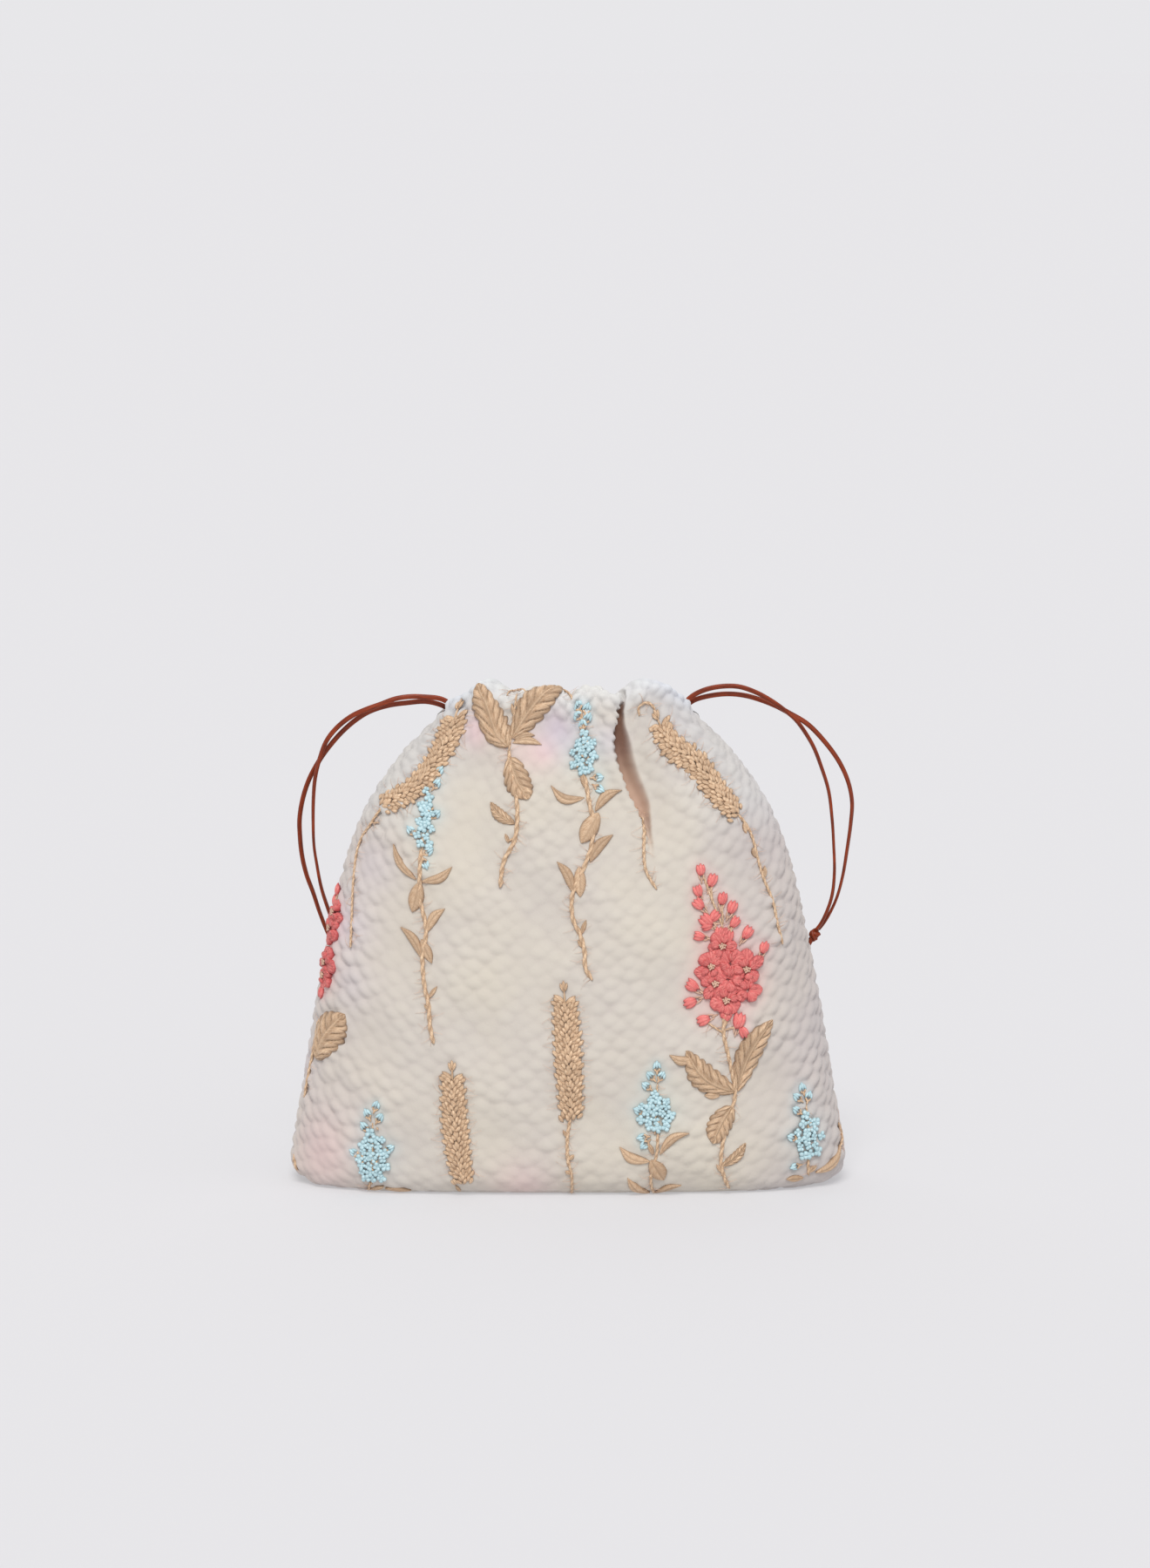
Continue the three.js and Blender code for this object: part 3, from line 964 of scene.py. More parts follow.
@dataclass
class Pleat:
    """The one deep pleat below the mouth: a lip on a viewer's left over a sunken floor, with painted brown
    shade on the floor.
    """

    rows: tuple[PleatRow, ...] = tuple(PleatRow(*row) for row in (
        (709, 797, 1.2), (710, 816, 1.8), (706, 832, 2.8), (702, 855, 5.2), (706, 873, 5.6), (715, 894, 5.2),
        (722, 912, 5.2), (730, 926, 4.2), (738, 942, 2.6), (743, 960, 1.4), (751, 1016, 0.4),
    ))
    depth: float = 5.0
    slope: float = 3.6
    full_floor: float = 5.0
    least_slope: float = 0.4
    # The band across the floor over which its painted shade fades.
    painting: Point = (1.4, 4.4)
    bank: Point = (1.5, 5.5)
    lip_blur: float = 0.7
    lip_rise: float = 1.2
    lip_reach: float = 2.2
    lip_shove: float = 1.1
    shove_back: float = 0.6
    floor_edge_blur: float = 0.5
    tooth: float = 0.45
    tooth_pitch: float = 3.65
    fade: Point = (922.0, 992.0)
    # Rows of the chart over which the floor's painted shade pales from deep at the top to shallow at the
    # foot.
    gloom: Point = (838.0, 925.0)
    casing: Point = (184.0, 197.0)
    casing_share: float = 0.55
    open_top: Point = (9.0, 3.0)
    open_share: float = 0.85

    def press(self, ground: Ground) -> None:
        """Press the pleat into a panel's face, and lay out the painted shade of its floor.

        Args:
            ground: the panel's face.
        """
        places, _ = ground.locate(np.array([(row.x, row.y) for row in self.rows]))
        order = np.argsort(places[:, 1])
        t = ground.t[:, 0]
        chart = np.array(self.rows)[order]
        fold = np.interp(t, places[order, 1], places[order, 0])
        down = np.interp(t, places[order, 1], chart[:, 1])
        floor = np.interp(t, places[order, 1], chart[:, 2])[:, None]
        strength = (1 - smoothstep(*self.fade, down))[:, None]
        held = (1 - (1 - self.casing_share) * smoothstep(*self.casing, t))[:, None]
        teeth = self.tooth * np.sin(2 * math.pi * t / self.tooth_pitch)[:, None]
        away = ground.s - fold[:, None]
        lip = away - teeth
        narrow = np.clip(floor / self.full_floor, self.least_slope, 1)
        sink = smoothstep(-self.lip_blur, self.lip_blur, lip)
        sink = sink * (1 - smoothstep(0, 1, (away - floor) / (self.slope * narrow)))
        rise = np.exp(-((lip + self.lip_reach) / self.lip_reach) ** 2)
        shove = np.exp(-((lip + self.shove_back) / self.lip_reach) ** 2) * self.lip_shove
        normals = ground.normals(ground.points)
        right = unit(np.gradient(ground.points, axis=1))
        shift = (self.lip_rise * rise - self.depth * held * sink) * strength
        ground.points = ground.points + normals * shift[..., None]
        ground.points += right * (shove * strength)[..., None]
        # Painted shade on the floor: its mask fades across the floor and at the open top, and its gloom is
        # deepest at the top, under the lip.
        within = smoothstep(-self.floor_edge_blur, self.floor_edge_blur, lip) * strength
        opening = smoothstep(t[-1] - self.open_top[0], t[-1] - self.open_top[1], ground.t)
        edge = (away - floor) / narrow
        ground.pleat_shade = within * (1 - self.open_share * opening) * (1 - smoothstep(*self.painting, edge))
        ground.calm = within * (1 - smoothstep(floor + self.bank[0], floor + self.bank[1], away))
        ground.gloom = 1 - smoothstep(*self.gloom, down)


@dataclass
class Puffs:
    """The pillow-like puckers of the cloth: bumps in staggered rows that sag towards the middle."""

    across: float = 8.7
    up: float = 3.65
    reach: float = 4.5
    stretch: Point = (0.86, 1.25)
    height: float = 0.72
    edge_height: float = 2.0
    edge_band: Point = (0.45, 0.9)
    top_band: Point = (26.0, 8.0)
    seam_pitch: float = 5.6
    seam_band: Point = (0.965, 0.995)
    stray: float = 1.25
    swells: Point = (0.62, 1.0)
    repeat: int = 101
    droop: Point = (1.75, 0.7)
    gather: float = 0.55
    middle: float = 0.55
    sag: float = 0.0023
    billow: float = 0.26
    billow_waves: int = 10
    billow_lengths: Point = (26.0, 70.0)
    billow_band: Point = (0.8, 0.97)
    billow_foot: float = 14.0
    billow_top: Point = (16.0, 5.0)
    patchy: float = 0.16
    patchy_band: Point = (0.75, 0.94)
    patchy_limits: Point = (0.45, 1.5)
    calming: float = 0.65

    def dome(self, s: Array, t: Array) -> Array:
        """Height of the puffs, from 0 in the deepest crease to 1 on a crown.

        Args:
            s: distances across.
            t: distances up.

        Returns:
            The heights.
        """
        rng = np.random.default_rng(SEED)
        size = self.repeat
        strays = rng.uniform(-self.stray, self.stray, (size, size, 2))
        swell = rng.uniform(*self.swells, (size, size))
        best = np.full(s.shape, self.reach**2)
        crown = np.ones(s.shape)
        base_row = np.floor(t / self.up)
        for row_step in (-1, 0, 1):
            row = base_row + row_step
            brick = 0.5 * np.mod(row, 2)
            base_column = np.floor(s / self.across - brick)
            for column_step in (0, 1):
                column = base_column + column_step
                pick = (np.mod(row, size).astype(int), np.mod(column, size).astype(int))
                from_s = s - (column + brick) * self.across - strays[pick][..., 0]
                from_t = t - (row + 0.5) * self.up - strays[pick][..., 1]
                steep = np.where(from_t < 0, self.droop[0], self.droop[1])
                gap = (from_s * self.stretch[0]) ** 2 + (from_t * self.stretch[1]) ** 2 * steep
                nearer = gap < best
                crown = np.where(nearer, swell[pick], crown)
                best = np.minimum(best, gap)
        return (1 - best / self.reach**2) * crown

    def waves(self, ground: Ground) -> Array:
        """Slow waves that cross each other over a panel's face.

        Args:
            ground: the panel's face.

        Returns:
            The waves' sum at each point.
        """
        rng = np.random.default_rng(SEED + ground.side.value)
        total = np.zeros(ground.s.shape)
        for _ in range(self.billow_waves):
            way, phase = rng.uniform(0, 2 * math.pi, 2)
            length = rng.uniform(*self.billow_lengths)
            along = ground.s * math.cos(way) + ground.t * math.sin(way)
            total += np.sin(along * 2 * math.pi / length + phase)
        return total

    def billow_over(self, ground: Ground) -> None:
        """Give a panel's face the slow unevenness of soft cloth.

        Args:
            ground: the panel's face.
        """
        top = ground.t[-1]
        held = 1 - smoothstep(*self.billow_band, np.abs(ground.shares))[None]
        held = held * smoothstep(0, self.billow_foot, ground.t)
        held = held * (1 - smoothstep(top - self.billow_top[0], top - self.billow_top[1], ground.t))
        lift = self.billow * held * self.waves(ground)
        ground.points = ground.points + ground.normals(ground.points) * lift[..., None]

    def raise_over(self, ground: Ground) -> tuple[Array, Array]:
        """Work out the puffs of a panel's face.

        Args:
            ground: the panel's face.

        Returns:
            Displacement of each point, and its share of a puff's height.
        """
        eased = ground.halves**(1 - self.gather) * ground.halves.max()**self.gather
        s = ground.shares[None] * eased[:, None]
        t, top = ground.t, ground.t[-1]
        aside = np.abs(ground.shares)[None]
        dome = self.dome(s, t - self.sag * s * s)
        edge = smoothstep(*self.edge_band, aside)
        edge = np.maximum(edge, smoothstep(top - self.top_band[0], top - self.top_band[1], t))
        height = self.height + (self.edge_height - self.height) * edge
        inland = 1 - smoothstep(*self.patchy_band, aside)
        height = height * np.clip(1 + self.patchy * inland * self.waves(ground), *self.patchy_limits)
        beside = smoothstep(*self.seam_band, aside)
        wall_t = t[: len(ground.wall_levels), 0]
        level = np.interp(ground.points[..., 2], ground.wall_levels, wall_t)
        dome = dome * (1 - beside) + np.abs(np.sin(math.pi * level / self.seam_pitch)) * beside
        return (dome - self.middle) * height * (1 - self.calming * ground.calm), dome


class ColourPatch(NamedTuple):
    """A soft patch of colour on the cloth, a tint or a painted shade, seen at a pixel of the photograph."""

    x: float
    y: float
    reach: float
    colour: Colour
    strength: float


# Pink patches are a tint of the cloth itself; the lilac and mauve ones are painted shade, cooler and greyer.
PINK = (236, 196, 200)
LILAC_SHADE = (214, 206, 214)
MAUVE_SHADE = (200, 186, 188)
TINTS_AND_SHADE = tuple(ColourPatch(*row) for row in (
    (545, 838, 6, PINK, 0.55), (600, 862, 9, PINK, 0.28), (640, 840, 10, LILAC_SHADE, 0.7),
    (640, 832, 7, MAUVE_SHADE, 0.5), (625, 865, 6, PINK, 0.34), (700, 850, 7, LILAC_SHADE, 0.5),
    (400, 1060, 12, LILAC_SHADE, 0.6), (400, 1130, 10, LILAC_SHADE, 0.3), (370, 1325, 16, PINK, 0.4),
    (345, 1230, 12, LILAC_SHADE, 0.4), (600, 1362, 12, PINK, 0.35), (425, 990, 12, LILAC_SHADE, 0.4),
))


@dataclass
class ClothPanel:
    """One half of the bag: its outer face with the turned hem, and the reverse inside it."""

    form: PouchForm
    side: Side
    ground: Ground
    puffs: Puffs
    flat: Point = (250.0, 270.0)
    base_rows: int = 10
    base_puff: float = 0.5
    hem_rows: int = 16
    hem_puff: float = 0.6
    hem_gap: float = 2.2
    reverse_columns: int = 97
    reverse_rows: int = 48
    reverse_base_rows: int = 7
    reverse_overlap: float = 4.0
    reverse_gap: float = 0.1
    seam_pinch: float = 0.3
    seam_reach: float = 1.6
    # The soft colour of each point of the face: tints, halos, and painted light and shade.
    tints_and_shade: Array | None = None

    def name(self, kind: str) -> str:
        """A name on this panel's side."""
        return f"{self.side.name.lower()}_{kind}"

    def seam_dip(self, points: Array) -> Array:
        """How far the cloth is drawn in beside the side seams."""
        return self.seam_pinch * np.exp(-(points[..., 1] / self.seam_reach) ** 2)

    def build(self, cloth: Material, reverse: Material) -> list[Piece]:
        """Make the panel's two pieces.

        Args:
            cloth: finish of the outer face.
            reverse: finish of the inner face.

        Returns:
            The pieces.
        """
        face = self.build_face(cloth)
        inner = self.build_reverse(reverse)
        for piece in (face, inner):
            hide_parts(self.name("panel"))
        flat = tuple(size * MM for size in self.flat)
        return [face, inner]

    def build_face(self, cloth: Material) -> Piece:
        """Make the outer face, from the base seam over the rim to the foot of the hem.

        Args:
            cloth: its finish.

        Returns:
            The piece.
        """
        ground = self.ground
        lift, dome = self.puffs.raise_over(ground)
        outer = ground.points + ground.facing * (lift - self.seam_dip(ground.points))[..., None]
        outer[..., 2] = np.maximum(outer[..., 2], FLOOR_CLEAR)
        for column in (0, -1):
            outer[:, column, 1] *= smoothstep(self.form.slit_foot, self.form.slit_full, outer[:, column, 2])
        edge = outer[0]
        base = [np.stack([edge[:, 0], edge[:, 1] * share, 0 * edge[:, 2] + FLOOR_CLEAR], axis=1)
                for share in np.linspace(0, 1, self.base_rows, endpoint=False)]
        hem = self.build_hem()
        fading = np.linspace(1, 0, ground.rim_rows + 1)[:, None]
        hem[: ground.rim_rows + 1, :, 2] += fading * lift[-1]
        rows = np.concatenate([np.stack(base), outer, hem])
        # Puff shares of the base and hem rows, which set how much painted crease shade they get.
        base_puff = np.full((self.base_rows, dome.shape[1]), self.base_puff)
        puff = np.concatenate([base_puff, dome, 0 * hem[..., 0] + self.hem_puff])
        count, columns = rows.shape[:2]
        piece = add_piece(self.name("cloth"), rows.reshape(-1, 3), grid_faces(count, columns), cloth)
        self.paint(piece, puff.ravel(), columns)
        return piece

    def build_hem(self) -> Array:
        """Lay the rim's inner half and the turned hem, down to where it is sewn to the wall.

        Returns:
            Their rows of points.
        """
        form, ground = self.form, self.ground
        turn = ground.turn_rows[-1]
        rows = [form.over_rim(self.side, turn, share) for share in ground.rim_shares[ground.rim_rows:]]
        shoulder = form.rim_top(self.side, turn) - form.rim_round
        for share in np.linspace(0, 1, self.hem_rows)[1:]:
            z = shoulder + (form.hem_foot - shoulder) * share
            loose = form.skin(self.side, turn, z, form.hem_inset, 0.0)
            close = 1 - smoothstep(form.hem_foot, form.casing_foot, z)
            sewn = self.inside(z, np.arange(len(turn)), self.hem_gap)
            rows.append(loose + (sewn - loose) * close[:, None])
        return np.stack(rows)

    def inside(self, z: Array, column: Array, depth: float) -> Array:
        """Points behind the outer face.

        Args:
            z: their heights.
            column: their columns.
            depth: how far behind the face they lie.

        Returns:
            The points.
        """
        ground = self.ground
        row = np.interp(z, ground.wall_levels, np.arange(len(ground.wall_levels)))
        row = np.broadcast_to(row, np.shape(column))
        face = ground.sample(ground.points, row, column)
        return face - ground.sample(ground.facing, row, column) * depth

    def build_reverse(self, reverse: Material) -> Piece:
        """Make the inner face, from the foot of the hem to the base seam.

        Args:
            reverse: its finish.

        Returns:
            The piece.
        """
        form = self.form
        column = np.linspace(0, len(self.ground.shares) - 1, self.reverse_columns)
        levels = np.linspace(form.hem_foot + self.reverse_overlap, form.wall, self.reverse_rows)
        rows = [self.inside(z, column, form.wall) for z in levels]
        for row in rows:
            row[:, 1] = self.side.value * np.maximum(self.side.value * row[:, 1], self.reverse_gap)
            row[:, 2] = np.maximum(row[:, 2], form.wall)
        edge = rows[-1]
        for share in np.linspace(1, 0, self.reverse_base_rows)[1:]:
            rows.append(np.stack([edge[:, 0], edge[:, 1] * share, edge[:, 2]], axis=1))
        faces = grid_faces(len(rows), len(column), flipped=True)
        return add_piece(self.name("reverse"), np.concatenate(rows), faces, reverse)

    def paint(self, piece: Piece, puff: Array, columns: int) -> None:
        """Give the face its puff heights, which set its painted crease shade, and its soft colour of tints
        and painted light and shade.

        Args:
            piece: the face.
            puff: each point's share of a puff's height.
            columns: points in a row.
        """
        mesh = piece.data
        mesh.attributes.new("puff", "FLOAT", "POINT").data.foreach_set("value", puff.astype(np.float32))
        tint = np.ones((len(mesh.vertices), 4), np.float32)
        if self.tints_and_shade is not None:
            first = self.base_rows * columns
            last = first + len(self.tints_and_shade)
            tint[first:last, :3] = self.tints_and_shade
            tint[last:, :3] = np.resize(self.tints_and_shade[-columns:], (len(tint) - last, 3))
        mesh.attributes.new("tint", "FLOAT_COLOR", "POINT").data.foreach_set("color", tint.ravel())


class TintAndShade:
    """Works out the soft colour over a panel's face: tints, halos, and painted light and shade. Bands run
    down from the rim, or across.
    """

    # Bands of the painted sheen on the rim and of the painted shade on the sides.
    rim_band: Point = (15.0, 3.0)
    rim_share: float = 0.85
    shoulder_band: Point = (68.0, 46.0)
    middle_band: Point = (-0.4, 0.4)
    side_band: Point = (0.4, 0.85)
    side_share: float = 0.8

    def __init__(self, ground: Ground) -> None:
        """Start with plain cloth."""
        self.ground = ground
        self.colour = np.ones((*ground.s.shape, 3))

    def add(self, place: Array, reach: float, colour: Colour, strength: float) -> None:
        """Colour the cloth round a place, down to about a third of its strength at its reach."""
        away = ((self.ground.s - place[0]) ** 2 + (self.ground.t - place[1]) ** 2) / reach**2
        self.lay(strength * np.exp(-away), self.share_of_crown(colour))

    def share_of_crown(self, colour: Colour) -> Array:
        """A colour as a share of the plain cloth's."""
        return np.array(linear(*colour)[:3]) / np.array(linear(*ClothFinish().crown)[:3])

    def lay(self, weight: Array, colour: Array) -> None:
        """Colour the cloth, by a weight at each point, with a share of the plain cloth's colour."""
        weight = weight[..., None]
        self.colour = self.colour * (1 - weight + colour * weight)

    def sink(self, shallow: Colour, deep: Colour) -> None:
        """Paint shade on the floor of the pleat, from a shallow colour at its foot to a deep one at its top.
        """
        gloom = self.ground.gloom[:, None, None]
        self.lay(self.ground.pleat_shade, self.share_of_crown(shallow) * (1 - gloom)
                 + self.share_of_crown(deep) * gloom)

    def near_top(self, band: Point) -> Array:
        """A weight that rises over a band below the rim."""
        top = self.ground.t[-1, 0]
        return smoothstep(top - band[0], top - band[1], self.ground.t)

    def paint_rim_sheen_and_side_shade(self, rim: Colour, shoulder: Colour, left: Colour, right: Colour) -> None:
        """Paint sheen on the rim, and paint shade on the sides: cooler and darker, darker on the right than
        on the left, paler grey at the shoulders.

        Args:
            rim: colour of the painted sheen on the rim.
            shoulder: colour of the painted shade beside the seams where they lean in.
            left: colour of the painted shade beside the left seam.
            right: colour of the painted shade beside the right seam.
        """
        self.lay(self.rim_share * self.near_top(self.rim_band), self.share_of_crown(rim))
        across = self.ground.shares[None]
        righter = smoothstep(*self.middle_band, across)[..., None]
        higher = self.near_top(self.shoulder_band)[..., None]
        side = self.share_of_crown(left) * (1 - righter) + self.share_of_crown(right) * righter
        side = side * (1 - higher) + self.share_of_crown(shoulder) * higher
        self.lay(self.side_share * smoothstep(*self.side_band, np.abs(across)), side)


class LaceEnd(Enum):
    """The side on which a lace leaves the mouth, with the sign of its X."""

    LEFT = -1
    RIGHT = 1


STRANDS = {
    LaceEnd.LEFT: (
        ((-44.4, -3.4, 188.8), (-46.6, -1.8, 192.2), (-50.4, -1.4, 194.4), (-57, -1.3, 195.2),
         (-62.6, -1.2, 195.3), (-68.5, -0.8, 194.4), (-74.3, -0.3, 192.2), (-80.2, 0.3, 190),
         (-86, 1.2, 187.2), (-91.9, 2.4, 182.5), (-96.2, 3.6, 177), (-98.9, 4.8, 170.3), (-101, 6.3, 162),
         (-101.9, 8, 153.3), (-102.2, 9.6, 142.9), (-102, 11.2, 133.3), (-101, 12.8, 125.4),
         (-99.3, 14.6, 115.4), (-96.2, 16.8, 104.8), (-93.4, 19, 96.4), (-92, 20.6, 91.2),
         (-91.6, 21.6, 88.2)),
        ((-44.4, 3.4, 188.4), (-48, 1.6, 190.4), (-51.7, 1.5, 192), (-56.8, 1.5, 193), (-64.1, 1.9, 192.4),
         (-71.4, 2.4, 191.3), (-78.7, 3.1, 188.9), (-84.5, 4, 185.3), (-90.4, 5.2, 180), (-95.5, 6.6, 174),
         (-98.9, 7.6, 169.2), (-103.2, 9.2, 161.5), (-106.1, 10.5, 153.3), (-107.7, 11.8, 144.4),
         (-107.7, 13, 137), (-107, 14.2, 128.8), (-105.3, 15.5, 120.7), (-102.8, 16.8, 113.3),
         (-100.3, 18.2, 105), (-97.2, 20, 96.2), (-95, 21.8, 91.2), (-93.4, 23, 88.2)),
    ),
    LaceEnd.RIGHT: (
        ((43.8, -4.2, 185.4), (45.4, -2.6, 189.6), (46.8, -1.6, 193), (49.2, -1.4, 195.4),
         (53.2, -1.4, 197.6), (59.2, -1.4, 199.2), (67.2, -1.4, 199.4), (73.8, -1.4, 197.4),
         (81.1, -1.5, 193.5), (88.1, -1.6, 188.3), (91.2, -1.6, 185.3), (97.2, -1.4, 176.1),
         (100.8, -1.1, 167.2), (103.8, -0.7, 157.5), (105.3, -0.2, 146.4), (106.1, 0.3, 135.3),
         (106.5, 0.8, 124.2), (105.6, 1.2, 114.6), (103.2, 1.8, 107), (101.2, 2.4, 102.9),
         (99.6, 2.9, 100.6)),
        ((43.8, 4.2, 185.3), (45.8, 2.6, 188.4), (47.4, 1.6, 191.4), (50, 1.4, 193.4), (55, 1.4, 195),
         (62.8, 1.5, 196), (70.2, 1.6, 195.4), (77.5, 1.7, 193.3), (83.3, 1.7, 190.9), (88.1, 1.6, 188.3),
         (95, 1.5, 184.2), (101.6, 1.6, 177.6), (108.1, 1.8, 168.7), (111.8, 2, 160.5), (113.4, 2.2, 152.4),
         (113, 2.4, 144.2), (111.6, 2.6, 133.1), (110, 2.8, 122.7), (107.8, 3.3, 113.9), (105.2, 4, 107.6),
         (102.6, 4.6, 103), (100.6, 5, 100.4)),
    ),
}


class KnotTurn(NamedTuple):
    """One turn of a lace in a knot, from its start to its end.

    Places run along the knot's axis and out from it. bulge is added halfway, angle is in radians and
    half_turns says how far it winds.
    """

    along: Point
    out: Point
    bulge: float
    angle: float
    half_turns: float
    size: Point
    twist: float = 0.0
    steps: int = 48


KNOT_TURNS = (
    KnotTurn((-1.4375, 1.4375), (1.426, 1.426), 0.0, 0.0, 4.4, (1.7, 1.1)),
    KnotTurn((2.125, -2.125), (0.575, 0.575), 1.725, 0.6, 0.8, (1.6, 1.0)),
    KnotTurn((-2.625, 2.625), (0.45, 0.45), 0.0, -math.pi / 2, 0.0, (1.4, 1.0), 0.1, 12),
    KnotTurn((1.0, 4.3), (0.6, 1.4), 0.0, -math.pi / 2, 0.0, (1.7, 1.0), 0.08, 12),
    KnotTurn((-2.625, 2.625), (0.45, 0.45), 0.0, math.pi / 2, 0.0, (1.4, 1.0), 0.1, 12),
    KnotTurn((1.0, 4.3), (0.6, 1.4), 0.0, math.pi / 2, 0.0, (1.7, 1.0), 0.08, 12),
)


@dataclass
class Lace:
    """A flat leather lace: a strand in at its slit, round both casings and out again, tied in a knot."""

    form: PouchForm
    end: LaceEnd
    level: float
    knot_middle: Triple
    knot_axis: Triple
    width: float = 2.0
    thickness: float = 1.2
    bend: float = 0.55
    sides: int = 12
    step: float = 0.8
    inset: float = 7.7
    turn_inset: float = 6.6
    turn_power: int = 4
    half_turn: float = 150.0
    run_points: int = 21
    front_twist: float = 0.3
    back_twist: float = -0.25
    flat_across: Triple = (0.0, 1.0, 0.1)
    knot_across: Triple = (0.0, 1.0, 0.2)

    @property
    def name(self) -> str:
        """The lace's name, as its CAD node has it."""
        return f"drawstring_{self.end.name.lower()}"

    def casing_run(self) -> Array:
        """Lay the hidden run round the two casings.

        Returns:
            Its points.
        """
        turn = np.radians(np.linspace(-self.half_turn, self.half_turn, self.run_points))
        inset = self.inset + (self.turn_inset - self.inset) * np.cos(turn) ** self.turn_power
        points = self.form.skin(Side.FRONT, turn, np.full(turn.shape, self.level), inset, 0.0)
        return points * np.array([-self.end.value, 1, 1])

    def sweep(self, path: Array, size: Point, twist: float) -> tuple[Array, list, Array]:
        """A flat lace along a path.

        Args:
            path: its centre line.
            size: its width and thickness.
            twist: turns that it makes over its length.

        Returns:
            Points, faces and thread places.
        """
        ahead = unit(np.gradient(path, axis=0))
        flat = np.zeros_like(path)
        flat[0] = unit(np.cross(ahead[0], self.flat_across))
        for i in range(1, len(path)):
            flat[i] = unit(flat[i - 1] - ahead[i] * (flat[i - 1] @ ahead[i]))
        thin = np.cross(ahead, flat)
        roll = np.linspace(0, 2 * math.pi * twist, len(path))[:, None]
        broad = flat * np.cos(roll) + thin * np.sin(roll)
        thin = thin * np.cos(roll) - flat * np.sin(roll)
        turn = np.linspace(0, 2 * math.pi, self.sides, endpoint=False)
        ring_x, ring_y = (wave * side / 2 for wave, side in zip(rounded(turn, self.bend), size))
        points = path[:, None] + broad[:, None] * ring_x[:, None] + thin[:, None] * ring_y[:, None]
        places = np.stack(np.broadcast_arrays(distances(path)[:, None], ring_x + ring_y), axis=-1)
        return points.reshape(-1, 3), tube_faces(len(path), self.sides), places.reshape(-1, 2)

    def build(self, leather: Material) -> list[Piece]:
        """Make the lace's free strands, its run in the casings and its knot.

        Args:
            leather: the lace's finish.

        Returns:
            The pieces.
        """
        front, back = (np.array(strand, float) for strand in STRANDS[self.end])
        path = rounded_path(np.vstack([front[::-1], self.casing_run(), back]), self.step)
        enter, leave = (int(np.argmin(np.linalg.norm(path - end, axis=1))) for end in (front[0], back[0]))
        knot = self.build_knot(leather)
        pieces = []
        for label, part, twist in (
            ("front_strand", path[enter::-1], self.front_twist),
            ("back_strand", path[leave:], self.back_twist),
        ):
            piece = self.build_part(label, part, leather, twist)
            length = float(distances(part)[-1])
            log.info("%s: %.1f mm long", piece.name, length)
            pieces.append(piece)
        hidden = self.build_part("casing_run", path[enter - 1:leave + 2], leather, 0.0)
        return [*pieces, hidden, knot]

    def build_part(self, label: str, path: Array, leather: Material, twist: float) -> Piece:
        """Make one part of the lace.

        Args:
            label: its name on the lace.
            path: its centre line.
            leather: its finish.
            twist: turns that it makes over its length.

        Returns:
            The piece.
        """
        points, faces, places = self.sweep(path, (self.width, self.thickness), twist)
        piece = add_piece(f"{self.name}_{label}", points, faces, leather, places)
        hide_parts(self.name)
        return piece

    def build_knot(self, leather: Material) -> Piece:
        """Make the overhand knot: two wraps, the strand that crosses them, and two cut ends.

        Args:
            leather: its finish.

        Returns:
            The piece.
        """
        axis = unit(np.array(self.knot_axis, float))
        side = unit(np.cross(axis, self.knot_across))
        deep = np.cross(axis, side)
        pile = MeshPile()
        for turn in KNOT_TURNS:
            share = np.linspace(0, 1, turn.steps)[:, None]
            angle = turn.angle + share * math.pi * turn.half_turns
            out = turn.out[0] + (turn.out[1] - turn.out[0]) * share + turn.bulge * np.sin(math.pi * share)
            along = turn.along[0] + (turn.along[1] - turn.along[0]) * share
            spread = side * out * np.cos(angle) + deep * out * np.sin(angle)
            pile.add(*self.sweep(np.array(self.knot_middle) + axis * along + spread, turn.size, turn.twist))
        name = f"knot_{self.end.name.lower()}"
        piece = pile.make(f"{name}_overhand", leather)
        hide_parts(name)
        return piece


class LeafKind(Enum):
    """Satin outlines: fullness, length of the teeth, lobes on each side, and slant of the lobes."""

    SLENDER = (0.85, 0.0, 0, 0.0)
    BROAD = (0.7, 0.0, 0, 0.0)
    TOOTHED = (0.68, 0.2, 5, 2.1)
    ROUND = (0.52, 0.18, 4, 1.7)
    PETAL = (0.6, 0.12, 2, 2.4)


class Leaf(NamedTuple):
    """A leaf from its base to its tip, at points of the chart. bow is its bend, as a share of its length."""

    base: Point
    tip: Point
    width: float
    kind: LeafKind = LeafKind.SLENDER
    bow: float = 0.0


class Stem(NamedTuple):
    """A twisted stem through points of the chart, with its width."""

    line: tuple[Point, ...]
    width: float = 1.7


class Ear(NamedTuple):
    """An ear of grain from its foot to its tip, through points of the chart."""

    line: tuple[Point, ...]
    width: float


class Spike(NamedTuple):
    """A spike of small blue florets: loose ones, and a dense head from its foot to its top."""

    loose: tuple[Point, ...]
    foot: Point
    top: Point
    width: float


class Bud(NamedTuple):
    """A coral bud at a point of the chart, with the way it points in degrees and its length."""

    at: Point
    point: float
    length: float = 5.0


class Flower(NamedTuple):
    """An open coral flower at a point of the chart, with its radius. heart is false where it is hidden."""

    at: Point
    radius: float
    heart: bool = True


@dataclass(frozen=True)
class Sprig:
    """One embroidered plant, charted by its parts."""

    stems: tuple[Stem, ...] = ()
    leaves: tuple[Leaf, ...] = ()
    ears: tuple[Ear, ...] = ()
    spikes: tuple[Spike, ...] = ()
    buds: tuple[Bud, ...] = ()
    flowers: tuple[Flower, ...] = ()


SLENDER, BROAD, TOOTHED, ROUND = LeafKind.SLENDER, LeafKind.BROAD, LeafKind.TOOTHED, LeafKind.ROUND

